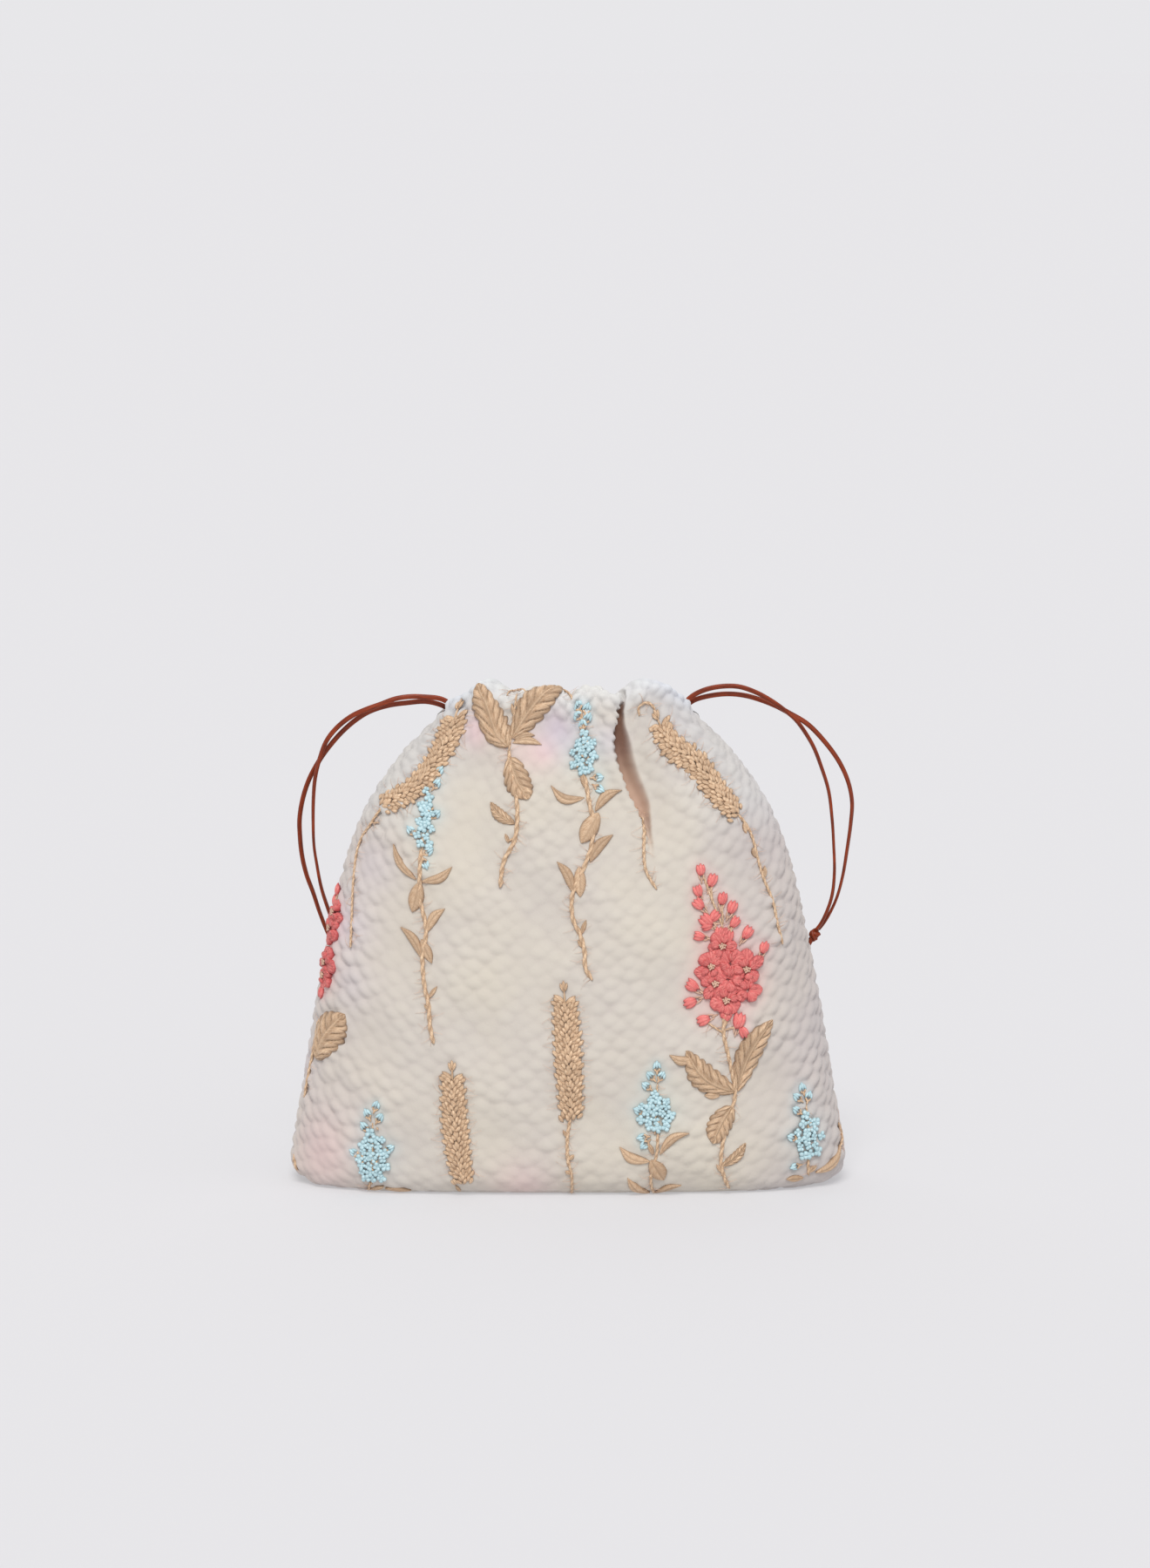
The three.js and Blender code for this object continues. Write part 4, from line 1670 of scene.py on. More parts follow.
SPRIGS = {
    "grain_top_left": Sprig(
        stems=(Stem(((441, 926), (426, 947), (415, 961), (409, 978), (406, 1005), (405, 1045),
                     (404, 1088)), 1.0), Stem(((428, 945), (437, 945)), 0.8)),
        ears=(Ear(((441, 926), (472, 905), (496, 875), (516, 840), (526, 807)), 9.4),),
    ),
    "bell_top_left": Sprig(
        stems=(Stem(((484, 975), (482, 1010), (482, 1032), (489, 1067), (485, 1099), (487, 1129),
                     (492, 1154), (494, 1179), (498, 1198))),),
        leaves=(Leaf((478, 1010), (453, 969), 3.6, SLENDER, 0.12),
                Leaf((484, 1012), (519, 995), 4.2, SLENDER, -0.14),
                Leaf((482, 1013), (473, 1047), 6.8, BROAD),
                Leaf((490, 1070), (511, 1043), 4.4, SLENDER, 0.12),
                Leaf((484, 1100), (459, 1064), 4.2, SLENDER, -0.1), Leaf((483, 1078), (496, 1106), 4.6),
                Leaf((492, 1146), (502, 1132), 2.0), Leaf((492, 1160), (487, 1153), 1.4)),
        spikes=(Spike(((505, 884), (502, 899), (472, 953), (501, 934), (493, 977), (489, 993)), (486, 968),
                       (492, 908), 8.6),),
    ),
    "broad_leaf": Sprig(
        stems=(Stem(((584, 862), (586, 880), (592, 910), (594, 934), (591, 964), (578, 990), (574, 1019))),
               Stem(((584, 862), (588, 830), (594, 797)), 0.9),
               Stem(((582, 799), (590, 793), (599, 792), (605, 796)), 0.8),
               Stem(((645, 790), (650, 792), (655, 799), (658, 804)), 1.1),
               Stem(((590, 962), (584, 966)), 1.1)),
        leaves=(Leaf((583, 858), (550, 786), 13.4, TOOTHED, 0.05),
                Leaf((587, 848), (646, 789), 12.6, TOOTHED, 0.05),
                Leaf((585, 870), (607, 918), 10.6, ROUND, -0.06),
                Leaf((591, 946), (562, 921), 5.0, TOOTHED, 0.1),
                Leaf((588, 853), (622, 855), 3.4, SLENDER, 0.1),
                Leaf((590, 850), (614, 844), 3.0, SLENDER, 0.1), Leaf((584, 968), (580, 957), 1.8),
                Leaf((589, 822), (586, 808), 1.7), Leaf((591, 812), (597, 802), 1.5)),
    ),
    "bell_top_right": Sprig(
        stems=(Stem(((672, 893), (676, 920), (681, 945), (679, 970), (671, 994), (657, 1028), (658, 1056),
                     (666, 1073), (671, 1092), (672, 1111), (680, 1125))),
               Stem(((668, 815), (670, 840)), 0.8)),
        leaves=(Leaf((671, 916), (632, 902), 4.4, SLENDER, 0.22),
                Leaf((683, 931), (713, 907), 4.6, SLENDER, 0.14), Leaf((673, 906), (668, 887), 3.0),
                Leaf((687, 933), (667, 968), 7.6, BROAD), Leaf((677, 990), (704, 958), 4.8, SLENDER, 0.1),
                Leaf((658, 1025), (639, 989), 4.4, SLENDER, -0.1),
                Leaf((665, 995), (666, 1030), 5.4, BROAD), Leaf((667, 1073), (673, 1056), 2.2),
                Leaf((668, 1088), (663, 1079), 1.5)),
        spikes=(Spike(((664, 809), (674, 812), (663, 821), (675, 823), (669, 830), (688, 892), (689, 906)),
                       (670, 884), (670, 842), 12.4),),
    ),
    "pleat_stem": Sprig(
        stems=(Stem(((737, 925), (739, 955), (740, 985), (742, 1000), (747, 1010), (754, 1021)), 1.2),),
    ),
    "grain_top_right": Sprig(
        stems=(Stem(((845, 934), (855, 945), (863, 960), (869, 981), (876, 1006), (886, 1035), (890, 1060),
                     (896, 1084)), 1.1),
               Stem(((735, 822), (734, 812), (740, 807), (749, 810), (753, 818)), 1.0)),
        leaves=(Leaf((856, 957), (854, 942), 2.4), Leaf((869, 985), (864, 973), 2.6),
                Leaf((878, 1008), (878, 994), 2.4)),
        ears=(Ear(((845, 934), (820, 905), (800, 878), (772, 855), (752, 818)), 9.4),),
    ),
    "grain_middle": Sprig(
        stems=(Stem(((655, 1282), (651, 1306), (652, 1331), (656, 1348), (656, 1371)), 1.2),),
        leaves=(Leaf((651, 1306), (646, 1297), 1.6), Leaf((653, 1331), (659, 1325), 2.0),
                Leaf((655, 1347), (649, 1343), 1.8)),
        ears=(Ear(((656, 1284), (654, 1240), (651, 1190), (647, 1130)), 9.8),),
    ),
    "grain_low_left": Sprig(
        stems=(Stem(((531, 1354), (530, 1371)), 1.2),),
        leaves=(Leaf((529, 1366), (523, 1360), 1.8),),
        ears=(Ear(((532, 1356), (527, 1330), (522, 1290), (520, 1250), (519, 1221)), 9.4),),
    ),
    "bell_low_left": Sprig(
        stems=(Stem(((425, 1356), (424, 1366)), 1.2),),
        leaves=(Leaf((420, 1363), (392, 1364), 3.0, SLENDER, 0.1), Leaf((442, 1363), (472, 1365), 3.4),
                Leaf((424, 1364), (441, 1361), 3.0)),
        spikes=(Spike(((433, 1268), (422, 1277), (437, 1282), (418, 1292), (406, 1322), (448, 1318)),
                       (427, 1352), (428, 1300), 14.0),),
    ),
    "bell_low_right": Sprig(
        stems=(Stem(((755, 1300), (754, 1322), (747, 1352), (748, 1371)), 1.2),),
        leaves=(Leaf((757, 1325), (791, 1300), 4.0, SLENDER, 0.16),
                Leaf((746, 1333), (711, 1317), 4.6, SLENDER, 0.16),
                Leaf((747, 1331), (762, 1354), 7.4, BROAD),
                Leaf((746, 1368), (720, 1351), 4.6, SLENDER, 0.08),
                Leaf((751, 1368), (782, 1361), 3.6, SLENDER, 0.12), Leaf((750, 1325), (744, 1312), 2.4)),
        spikes=(Spike(((754, 1223), (746, 1234), (760, 1234), (741, 1246), (732, 1275), (736, 1306),
                       (739, 1315)), (752, 1294), (754, 1256), 14.0),),
    ),
    "coral": Sprig(
        stems=(Stem(((832, 1160), (830, 1186), (834, 1205), (840, 1232), (844, 1256), (838, 1280),
                     (831, 1304), (827, 1331), (831, 1350), (837, 1363)), 1.5),
               Stem(((834, 1085), (828, 1060), (818, 1035), (806, 1003)), 0.9),
               Stem(((836, 1085), (842, 1050)), 0.8), Stem(((830, 1060), (828, 1034)), 0.8),
               Stem(((818, 1035), (815, 1014)), 0.8), Stem(((830, 1186), (812, 1174)), 0.9),
               Stem(((831, 1180), (838, 1160)), 0.8), Stem(((831, 1182), (846, 1178)), 0.8)),
        leaves=(Leaf((844, 1254), (787, 1206), 11.0, TOOTHED, 0.13),
                Leaf((799, 1215), (768, 1211), 4.2, SLENDER, 0.16),
                Leaf((846, 1253), (885, 1170), 10.8, TOOTHED, 0.08),
                Leaf((840, 1270), (817, 1312), 10.2, ROUND, -0.05),
                Leaf((828, 1338), (856, 1312), 4.4, TOOTHED, -0.1), Leaf((826, 1258), (808, 1257), 3.4),
                Leaf((829, 1345), (822, 1336), 2.0)),
        buds=(Bud((804, 999), 95), Bud((817, 1011), 70, 5.4), Bud((801, 1023), 110),
              Bud((802, 1038), 135, 5.6), Bud((829, 1032), 80, 5.4), Bud((840, 1042), 65, 5.6),
              Bud((843, 1059), 50), Bud((803, 1075), 165), Bud((857, 1071), 55, 5.6),
              Bud((875, 1088), 70, 5.2), Bud((795, 1132), 145, 6.2), Bud((793, 1151), 200, 6.0),
              Bud((808, 1171), 200, 5.8), Bud((847, 1172), 75, 6.6), Bud((852, 1184), 300, 5.0),
              Bud((820, 1052), 50, 5.4), Bud((826, 1072), 80, 5.4), Bud((811, 1057), 140, 6.4),
              Bud((812, 1063), 190, 5.0), Bud((836, 1076), 80, 5.4)),
        flowers=(Flower((836, 1124), 7.0, False), Flower((829, 1086), 6.2), Flower((816, 1110), 6.0),
                 Flower((857, 1137), 5.6, False), Flower((821, 1130), 5.8), Flower((856, 1113), 6.8),
                 Flower((838, 1107), 6.4, False), Flower((833, 1149), 6.6)),
    ),
    "bell_edge_right": Sprig(
        stems=(Stem(((928, 1330), (929, 1350)), 1.3), Stem(((961, 1289), (965, 1304), (963, 1316)), 1.3)),
        leaves=(Leaf((937, 1347), (963, 1314), 4.4, SLENDER, -0.12), Leaf((923, 1353), (903, 1355), 3.6),
                Leaf((928, 1347), (938, 1338), 3.0)),
        spikes=(Spike(((920, 1248), (914, 1259), (927, 1257), (913, 1274), (912, 1340), (907, 1305)),
                       (928, 1324), (925, 1280), 13.0),),
    ),
    "coral_edge_left": Sprig(
        stems=(Stem(((368, 1170), (361, 1205), (355, 1235), (351, 1260)), 1.3),
               Stem(((341, 1308), (338, 1325), (342, 1343)), 1.4)),
        leaves=(Leaf((364, 1215), (396, 1164), 15.0, TOOTHED, 0.05),),
        buds=(Bud((389, 1022), 95, 5.0), Bud((386, 1034), 100, 5.0), Bud((373, 1128), 230, 6.0),
              Bud((370, 1138), 240, 5.6)),
        flowers=(Flower((387, 1048), 5.0), Flower((383, 1066), 6.0), Flower((381, 1086), 6.4),
                 Flower((377, 1105), 6.0), Flower((375, 1120), 4.6)),
    ),
}


class Placing(NamedTuple):
    """Where a sprig of the chart is repeated on the back, mirrored, with its shift in the chart."""

    sprig: str
    across: float
    down: float


CHART_MIDDLE = 652.0
BACK_PLACINGS = tuple(Placing(*row) for row in (
    ("coral", 0, -14), ("broad_leaf", 0, 25), ("bell_top_right", -40, 20),
    ("bell_top_left", -35, 20), ("grain_top_right", -20, 12), ("grain_top_left", 0, 12),
    ("grain_middle", 15, -14), ("grain_low_left", -40, -14), ("bell_low_left", 0, -14),
    ("bell_low_right", 25, -14), ("grain_middle", 190, -110), ("bell_edge_right", -16, -60),
))
THREADS = {"stems": Thread.TAN, "leaves": Thread.TAN, "ears": Thread.TAN, "florets": Thread.BLUE,
           "blooms": Thread.CORAL, "hearts": Thread.CREAM, "fibres": Thread.CREAM}


@dataclass(frozen=True)
class StemStitch:
    """A stem of two strands twisted together, with loose fibres beside it."""

    step: float = 0.55
    sides: int = 10
    strand: float = 0.13
    winding: float = 2.4
    end_share: float = 0.55
    end_reach: float = 2.0
    height: float = 0.35
    strand_light: Point = (0.76, 1.06)
    side_light: Point = (-0.9, 0.3)
    slant: float = 0.6
    fibre_pitch: int = 3
    fibre_out: float = 0.4


@dataclass(frozen=True)
class FibreStitch:
    """A loose cut fibre that lies on the cloth in a low arch."""

    rings: int = 5
    sides: int = 3
    lengths: Point = (2.0, 5.5)
    radius: float = 0.11
    thinning: float = 0.7
    turn_stray: float = 0.5
    bend_stray: float = 0.22
    height: float = 0.35
    arch: float = 0.45


class Ease(NamedTuple):
    """A level, and what is added to it over a band."""

    level: float
    extra: float
    low: float
    high: float

    def over(self, at: Array) -> Array:
        """The level at each place."""
        return self.level + self.extra * smoothstep(self.low, self.high, at)


@dataclass(frozen=True)
class SatinStitch:
    """A padded leaf or petal in two halves beside a midrib. Places across run from 0 at the midrib to 1."""

    row_step: float = 0.4
    least_rows: int = 10
    columns: tuple[int, int] = (13, 21)
    lobed_length: float = 10.0
    fullest: float = 0.88
    slant_loss: float = 0.5
    tooth_power: float = 0.6
    tooth_middle: float = 0.62
    tooth_start: Point = (0.05, 0.2)
    sweep: float = 0.16
    # Painted light and shade: random sheen of each half and lobe, shade in the creases, beside the midrib
    # and at the edges.
    tones: Point = (0.62, 1.08)
    spare_tones: int = 3
    swell_power: float = 0.6
    end_swell: Point = (0.4, 0.6)
    midrib: float = 0.05
    midrib_height: float = 0.85
    crease: float = 0.12
    crease_start: Point = (0.1, 0.35)
    crease_depth: float = 0.5
    crease_shade: float = 0.75
    lobe_shade: Point = (0.8, 0.2)
    lobed_rib: Ease = Ease(0.42, 0.58, 0.05, 0.42)
    lobed_light: Ease = Ease(0.68, 0.32, 0.08, 0.34)
    plain_rib: Ease = Ease(0.72, 0.28, 0.0, 0.3)
    plain_light: Ease = Ease(0.56, 0.22, 0.0, 0.2)
    edge_from: float = 0.999
    edge_height: float = -0.35
    edge_shade: int = 6
    under_height: float = -0.6
    leaf_rise: Point = (0.7, 0.11)
    most_rise: float = 2.2
    strand_pitch: float = 1.4
    strand_slant: float = 0.8
    halves_apart: float = 40.0


@dataclass(frozen=True)
class GrainStitch:
    """One padded stitch of six rings between two points."""

    rings: int = 6
    sides: int = 7
    roundness: float = 0.75
    shift: Point = (0.0, 50.0)
    top_light: Point = (-0.3, 0.75)
    foot_light: Point = (0.0, 0.16)
    tones: Point = (0.66, 1.0)
    strand_pitch: float = 1.5


@dataclass(frozen=True)
class EarStitch:
    """An ear of grain: rows of grains in a V over a flat bed, with a bud over its top.

    A row of fans says for each grain how far out it lies, how it leans and how high it is.
    """

    pitch: float = 1.05
    rows: float = 0.85
    foot_rows: int = 4
    slope: float = 0.8
    breadth: Point = (0.92, 0.2)
    bed_out: float = 0.46
    bed_length: float = 1.3
    bed_section: Point = (2.4, 1.0)
    bed_height: float = 0.25
    fans: tuple[tuple[Triple, ...], ...] = (
        ((0.92, 0.74, 0.35), (0.54, 0.64, 0.6), (0.18, 0.42, 0.85)),
        ((0.73, 0.7, 0.45), (0.36, 0.56, 0.75), (0.04, 0.22, 0.95)),
    )
    lean_stray: float = 0.15
    place_stray: float = 0.25
    grain_length: Point = (2.1, 0.26)
    grain_spread: Point = (0.86, 1.14)
    grain_section: Point = (1.75, 1.3)
    skew: float = 1.1
    stalk: float = 0.9
    stalk_height: float = 0.4
    bud: Triple = (3.9, 1.5, 1.2)
    bud_back: float = 1.2
    bud_push: float = 0.9
    bud_spread: float = 0.8
    bud_turn: float = 0.3
    bud_height: float = 0.5
    bud_rise: float = 0.3


@dataclass(frozen=True)
class BudStitch:
    """A closed bud of three lobes on a forked stalk. Spreads, feet and lengths are shares of its length."""

    lobe_pile: str
    stalk_pile: str
    spread: float
    push: float
    lengths: Point
    thick: float
    turn: float
    height: float
    rise: float
    skew: float
    foot: float
    fork_spread: float
    fork_turn: float
    fork_length: float
    fork_width: float
    stalk_back: float
    stalk: Triple
    stalk_height: float
    halo: float
    thread: Thread
    lobe_width: float = 0.42
    fork_height: float = 0.4


CUP = BudStitch(
    "florets", "stems", spread=0.3, push=0.5, lengths=(0.9, 1.15), thick=1.3, turn=-0.35, height=0.45,
    rise=0.3, skew=1.1, foot=0.6, fork_spread=0.24, fork_turn=0.6, fork_length=0.75, fork_width=0.8,
    stalk_back=0.9, stalk=(2.6, 0.9, 0.9), stalk_height=0.4, halo=3.0, thread=Thread.BLUE)
CORAL_BUD = BudStitch(
    "blooms", "hearts", spread=0.17, push=0.3, lengths=(0.9, 1.1), thick=1.9, turn=0.2, height=0.5,
    rise=0.35, skew=1.0, foot=0.55, fork_spread=0.16, fork_turn=0.3, fork_length=0.6, fork_width=0.75,
    stalk_back=1.4, stalk=(3.2, 0.8, 0.8), stalk_height=0.35, halo=3.8, thread=Thread.CORAL)


@dataclass(frozen=True)
class SpikeStitch:
    """A spike of small flowers of four petals, with buds and specks. Petals are shares of a radius."""

    halo: float = 0.75
    bud_length: float = 3.1
    bud_reach: float = 1.6
    bud_lag: float = 0.25
    twig_ends: Point = (3.0, 4.0)
    twig_step: float = 1.0
    twig_width: float = 0.8
    pitch: float = 3.2
    row_pitch: float = 0.82
    row_shift: float = 0.5
    fullest: float = 0.42
    narrowing: float = 1.55
    least_breadth: float = 0.12
    stray: float = 0.28
    radius: Point = (1.6, 2.2)
    speck_share: float = 0.3
    speck_stray: float = 1.3
    speck: Triple = (1.7, 0.9, 0.8)
    speck_height: float = 0.85
    petals: int = 4
    core: Triple = (1.5, 1.3, 0.9)
    core_height: float = 0.3
    petal_turn: float = 0.15
    petal_out: float = 0.52
    petal_lengths: Point = (1.0, 1.2)
    petal_widths: Point = (0.85, 1.1)
    petal_thick: float = 0.85
    petal_height: float = 0.5
    petal_rise: float = 0.5
    petal_skew: float = 1.2


@dataclass(frozen=True)
class FlowerStitch:
    """An open flower: whorls of petals, by number, size, inner end and height, round a grainy heart."""

    whorls: tuple[tuple[int, float, float, float], ...] = ((5, 1.08, 0.08, 0.2), (4, 0.72, 0.2, 1.0))
    turn_stray: float = 0.2
    lengths: Point = (0.85, 1.15)
    widths: Point = (0.7, 1.0)
    bow_stray: float = 0.09
    rises: Point = (1.0, 1.7)
    lifts: Point = (0.0, 0.7)
    lights: Point = (0.75, 1.0)
    beads: int = 10
    bead: Triple = (1.15, 0.9, 0.9)
    bead_turn: float = 2.4
    bead_out: float = 0.42
    bead_height: float = 2.3
    halo: float = 1.3


@dataclass
class Embroidery:
    """Raised embroidery on one panel, stitched over its face."""

    ground: Ground
    materials: dict[Thread, Material]
    lost: float = 5.0
    stems: StemStitch = StemStitch()
    fibres: FibreStitch = FibreStitch()
    satins: SatinStitch = SatinStitch()
    grains: GrainStitch = GrainStitch()
    ears: EarStitch = EarStitch()
    spikes: SpikeStitch = SpikeStitch()
    flowers: FlowerStitch = FlowerStitch()
    halos: list[tuple[Array, float, Thread]] = field(default_factory=list)

    def __post_init__(self) -> None:
        """Start the random draws and the piles."""
        self.rng = np.random.default_rng(SEED + self.ground.side.value)
        self.piles = {name: MeshPile() for name in THREADS}

    def find(self, points: tuple[Point, ...], placing: Placing | None) -> tuple[Array, Array]:
        """Find points of the chart on the panel.

        Args:
            points: the points.
            placing: where their sprig is repeated, or nothing where it keeps its own place.

        Returns:
            Their places, and which of them are on the panel.
        """
        chart = np.array(points, float).reshape(-1, 2)
        if placing is not None:
            chart[:, 0] = 2 * CHART_MIDDLE - chart[:, 0]
            chart = chart + [placing.across, placing.down]
        places, miss = self.ground.locate(chart)
        return places, miss < self.lost

    def stitch(self, sprig: Sprig, placing: Placing | None = None) -> None:
        """Stitch one sprig.

        Args:
            sprig: the plant.
            placing: where it is repeated, or nothing where it keeps its own place.
        """
        flip = placing is not None
        for stem in sprig.stems:
            places, found = self.find(stem.line, placing)
            if found.sum() > 1:
                self.stem(places[found], stem.width)
        for leaf in sprig.leaves:
            places, found = self.find((leaf.base, leaf.tip), placing)
            if found.all():
                self.leaf(places, leaf, flip)
        for ear in sprig.ears:
            places, found = self.find(ear.line, placing)
            if found.all():
                self.ear(places, ear.width)
        for spike in sprig.spikes:
            places, found = self.find((spike.foot, spike.top, *spike.loose), placing)
            if found[:2].all():
                self.spike(places[2:][found[2:]], places[:2], spike.width)
        for flower in sprig.flowers:
            places, found = self.find((flower.at,), placing)
            if found.all():
                self.flower(places[0], flower.radius, flower.heart)
        for bud in sprig.buds:
            places, found = self.find((bud.at,), placing)
            if found.all():
                point = 180 - bud.point if flip else bud.point
                self.bud(CORAL_BUD, places[0], math.radians(point), bud.length)

    def make(self) -> list[Piece]:
        """Make the pieces of every kind that has been stitched.

        Returns:
            The pieces.
        """
        pieces = []
        for name, pile in self.piles.items():
            if pile.count:
                thread = THREADS[name]
                piece = pile.make(f"{self.ground.side.name.lower()}_{name}", self.materials[thread])
                pieces.append(piece)
        return pieces

    def stem(self, line: Array, width: float) -> None:
        """A stem of two strands twisted together.

        Args:
            line: its places on the cloth.
            width: its width.
        """
        sizes = self.stems
        path = rounded_path(line, sizes.step)
        beside = left_of(unit(np.gradient(path, axis=0)))
        along = (np.arange(len(path)) * sizes.step)[:, None]
        turn = np.linspace(0, 2 * math.pi, sizes.sides, endpoint=False)
        lobes = 1 + sizes.strand * np.cos(2 * turn - along * sizes.winding / width)
        inward = np.minimum(1, np.minimum(along, along[-1] - along) / sizes.end_reach)
        radius = width / 2 * lobes * (sizes.end_share + (1 - sizes.end_share) * inward)
        out = radius * np.cos(turn)
        s = path[:, None, 0] + beside[:, None, 0] * out
        t = path[:, None, 1] + beside[:, None, 1] * out
        points = self.ground.lift(s, t, sizes.height + radius * np.sin(turn)).reshape(-1, 3)
        # Painted light on the strands' tops and outer bulges, painted shade on their sides and between them.
        crown = smoothstep(*sizes.strand_light, lobes) * smoothstep(*sizes.side_light, np.sin(turn))
        across = turn * width / 2 + along * sizes.slant
        places = np.stack(np.broadcast_arrays(along, across, crown), axis=-1).reshape(-1, 3)
        self.piles["stems"].add(points, tube_faces(len(path), sizes.sides), places)
        for i in range(0, len(path), sizes.fibre_pitch):
            way = beside[i] * self.rng.choice((-1, 1))
            self.fibre(path[i] + way * width * sizes.fibre_out, angle_of(way))

    def fibre(self, place: Array, angle: float) -> None:
        """One loose cut fibre that lies on the cloth beside the stitches.

        Args:
            place: where it starts.
            angle: the way that it leaves, in radians.
        """
        sizes = self.fibres
        way = aim(angle + self.rng.normal(0, sizes.turn_stray))
        beside = left_of(way)
        a = np.linspace(0, 1, sizes.rings)[:, None]
        length = self.rng.uniform(*sizes.lengths)
        bend = self.rng.normal(0, sizes.bend_stray) * length * a * a
        turn = np.linspace(0, 2 * math.pi, sizes.sides, endpoint=False)[None]
        radius = sizes.radius * (1 - sizes.thinning * a)
        out = bend + radius * np.cos(turn)
        s, t = (place[k] + way[k] * a * length + beside[k] * out for k in (0, 1))
        up = sizes.height + sizes.arch * np.sin(math.pi * a) + radius * np.sin(turn)
        points = self.ground.lift(s, t, up).reshape(-1, 3)
        places = np.stack(np.broadcast_arrays(a * length, out, 1.0), axis=-1).reshape(-1, 3)
        self.piles["fibres"].add(points, tube_faces(sizes.rings, sizes.sides), places)

    def leaf(self, ends: Array, leaf: Leaf, flip: bool) -> None:
        """A satin-stitched leaf between the places of its base and tip, bent the other way if mirrored."""
        rise = min(self.satins.leaf_rise[0] + self.satins.leaf_rise[1] * leaf.width, self.satins.most_rise)
        self.satin("leaves", ends, leaf.width, leaf.kind, -leaf.bow if flip else leaf.bow, rise)

    def relief(self, kind: LeafKind, u: Array, w: Array, bright: float) -> tuple[Array, Array]:
        """Padding and light over a satin leaf or petal.

        Args:
            kind: its outline.
            u: shares of its length.
            w: places across it, from -1 to 1.
            bright: how much of its thread catches the light, from 0 to 1.

        Returns:
            The share of the padding's height, and the light.
        """
        sizes = self.satins
        _, _, lobes, slant = kind.value
        x = np.abs(w)
        lobe = u * (lobes + 1) - slant * x * (1 - sizes.slant_loss * u)
        phase = np.mod(lobe, 1)
        half = np.broadcast_to((w > 0).astype(int), lobe.shape)
        tones = lobes + 2 * sizes.spare_tones
        # Painted sheen: each half and each lobe gets its own brightness, drawn at random.
        tone = bright * self.rng.uniform(*sizes.tones, (2, tones))
        swell = sizes.end_swell[0] + sizes.end_swell[1] * np.sin(math.pi * u) ** 0.5
        swell = swell * np.clip(1 - x * x, 0, 1) ** sizes.swell_power
        # Plain leaves: painted shade along the middle, lighter towards the edges.
        if not lobes:
            light = tone[half, 0] * sizes.plain_light.over(x)
            return swell * sizes.plain_rib.over(x), light
        # Lobed leaves: painted shade in the creases between lobes and beside the midrib, a gradient of
        # painted light across each lobe, and a painted highlight on the midrib.
        midrib = x < sizes.midrib
        crease = np.exp(-(np.minimum(phase, 1 - phase) / sizes.crease) ** 2)
        crease = crease * smoothstep(*sizes.crease_start, x)
        rib = np.where(midrib, sizes.midrib_height, sizes.lobed_rib.over(x))
        number = np.clip(np.floor(lobe).astype(int) + sizes.spare_tones, 0, tones - 1)
        light = tone[half, number] * (sizes.lobe_shade[0] + sizes.lobe_shade[1] * phase)
        light = light * (1 - sizes.crease_shade * crease) * sizes.lobed_light.over(x)
        return swell * rib * (1 - sizes.crease_depth * crease), np.where(midrib, 1.0, light)

    def satin(self, pile: str, ends: Array, width: float, kind: LeafKind, bow: float, rise: float,
              floor: float = 0.1, bright: float = 1.0) -> None:
        """A padded leaf or petal in satin stitch: two halves beside a midrib, lobed where its kind is.

        Args:
            pile: the pile that it goes to.
            ends: places of its base and tip.
            width: its width.
            kind: its outline.
            bow: bend of its midrib, as a share of its length.
            rise: height of its padding.
            floor: height of its edge over the cloth.
            bright: how much of its thread catches the light, from 0 to 1.
        """
        sizes = self.satins
        fullness, tooth, lobes, slant = kind.value
        span = ends[1] - ends[0]
        length = float(np.hypot(*span))
        rows = max(int(length / sizes.row_step), sizes.least_rows) + 1
        columns = sizes.columns[bool(lobes) and length > sizes.lobed_length]
        u = np.linspace(0, 1, rows)[:, None]
        w = np.linspace(-1, 1, columns)[None, :]
        x = np.abs(w)
        arch = np.sin(math.pi * u)
        ahead = span / length
        beside = left_of(ahead)
        edge = np.sin(math.pi * u**sizes.fullest) ** fullness
        if lobes:
            phase = np.mod(u * (lobes + 1) - slant * (1 - sizes.slant_loss * u), 1)
            teeth = np.sin(math.pi * phase) ** sizes.tooth_power - sizes.tooth_middle
            edge = edge * (1 + tooth * teeth * smoothstep(*sizes.tooth_start, u))
        out = w * edge * width / 2
        shift = out + bow * length * arch
        axis = u * length + x * edge * width * sizes.sweep * arch
        s, t = (ends[0][k] + ahead[k] * axis + beside[k] * shift for k in (0, 1))
        padding, light = self.relief(kind, u, w, bright)
        up = np.where(x > sizes.edge_from, sizes.edge_height, floor + rise * padding)
        # Painted shade darkens the very edges of the satin.
        crown = np.clip(light * (1 - x**sizes.edge_shade), 0, 1)
        under = columns // 2
        last = np.zeros((rows, 1))
        s = np.concatenate([s, s[:, under:under + 1]], axis=1)
        t = np.concatenate([t, t[:, under:under + 1]], axis=1)
        up = np.concatenate([up, last + sizes.under_height], axis=1)
        crown = np.concatenate([crown, last], axis=1)
        reach = np.concatenate([np.abs(out) * sizes.strand_pitch, last], axis=1)
        apart = sizes.halves_apart * (np.arange(columns + 1) > under)
        strand = u * length - reach * sizes.strand_slant + apart
        points = self.ground.lift(s, t, up).reshape(-1, 3)
        faces = grid_faces(rows, columns + 1, around=True, flipped=True)
        self.piles[pile].add(points, faces, np.stack([reach, strand, crown], axis=-1).reshape(-1, 3))

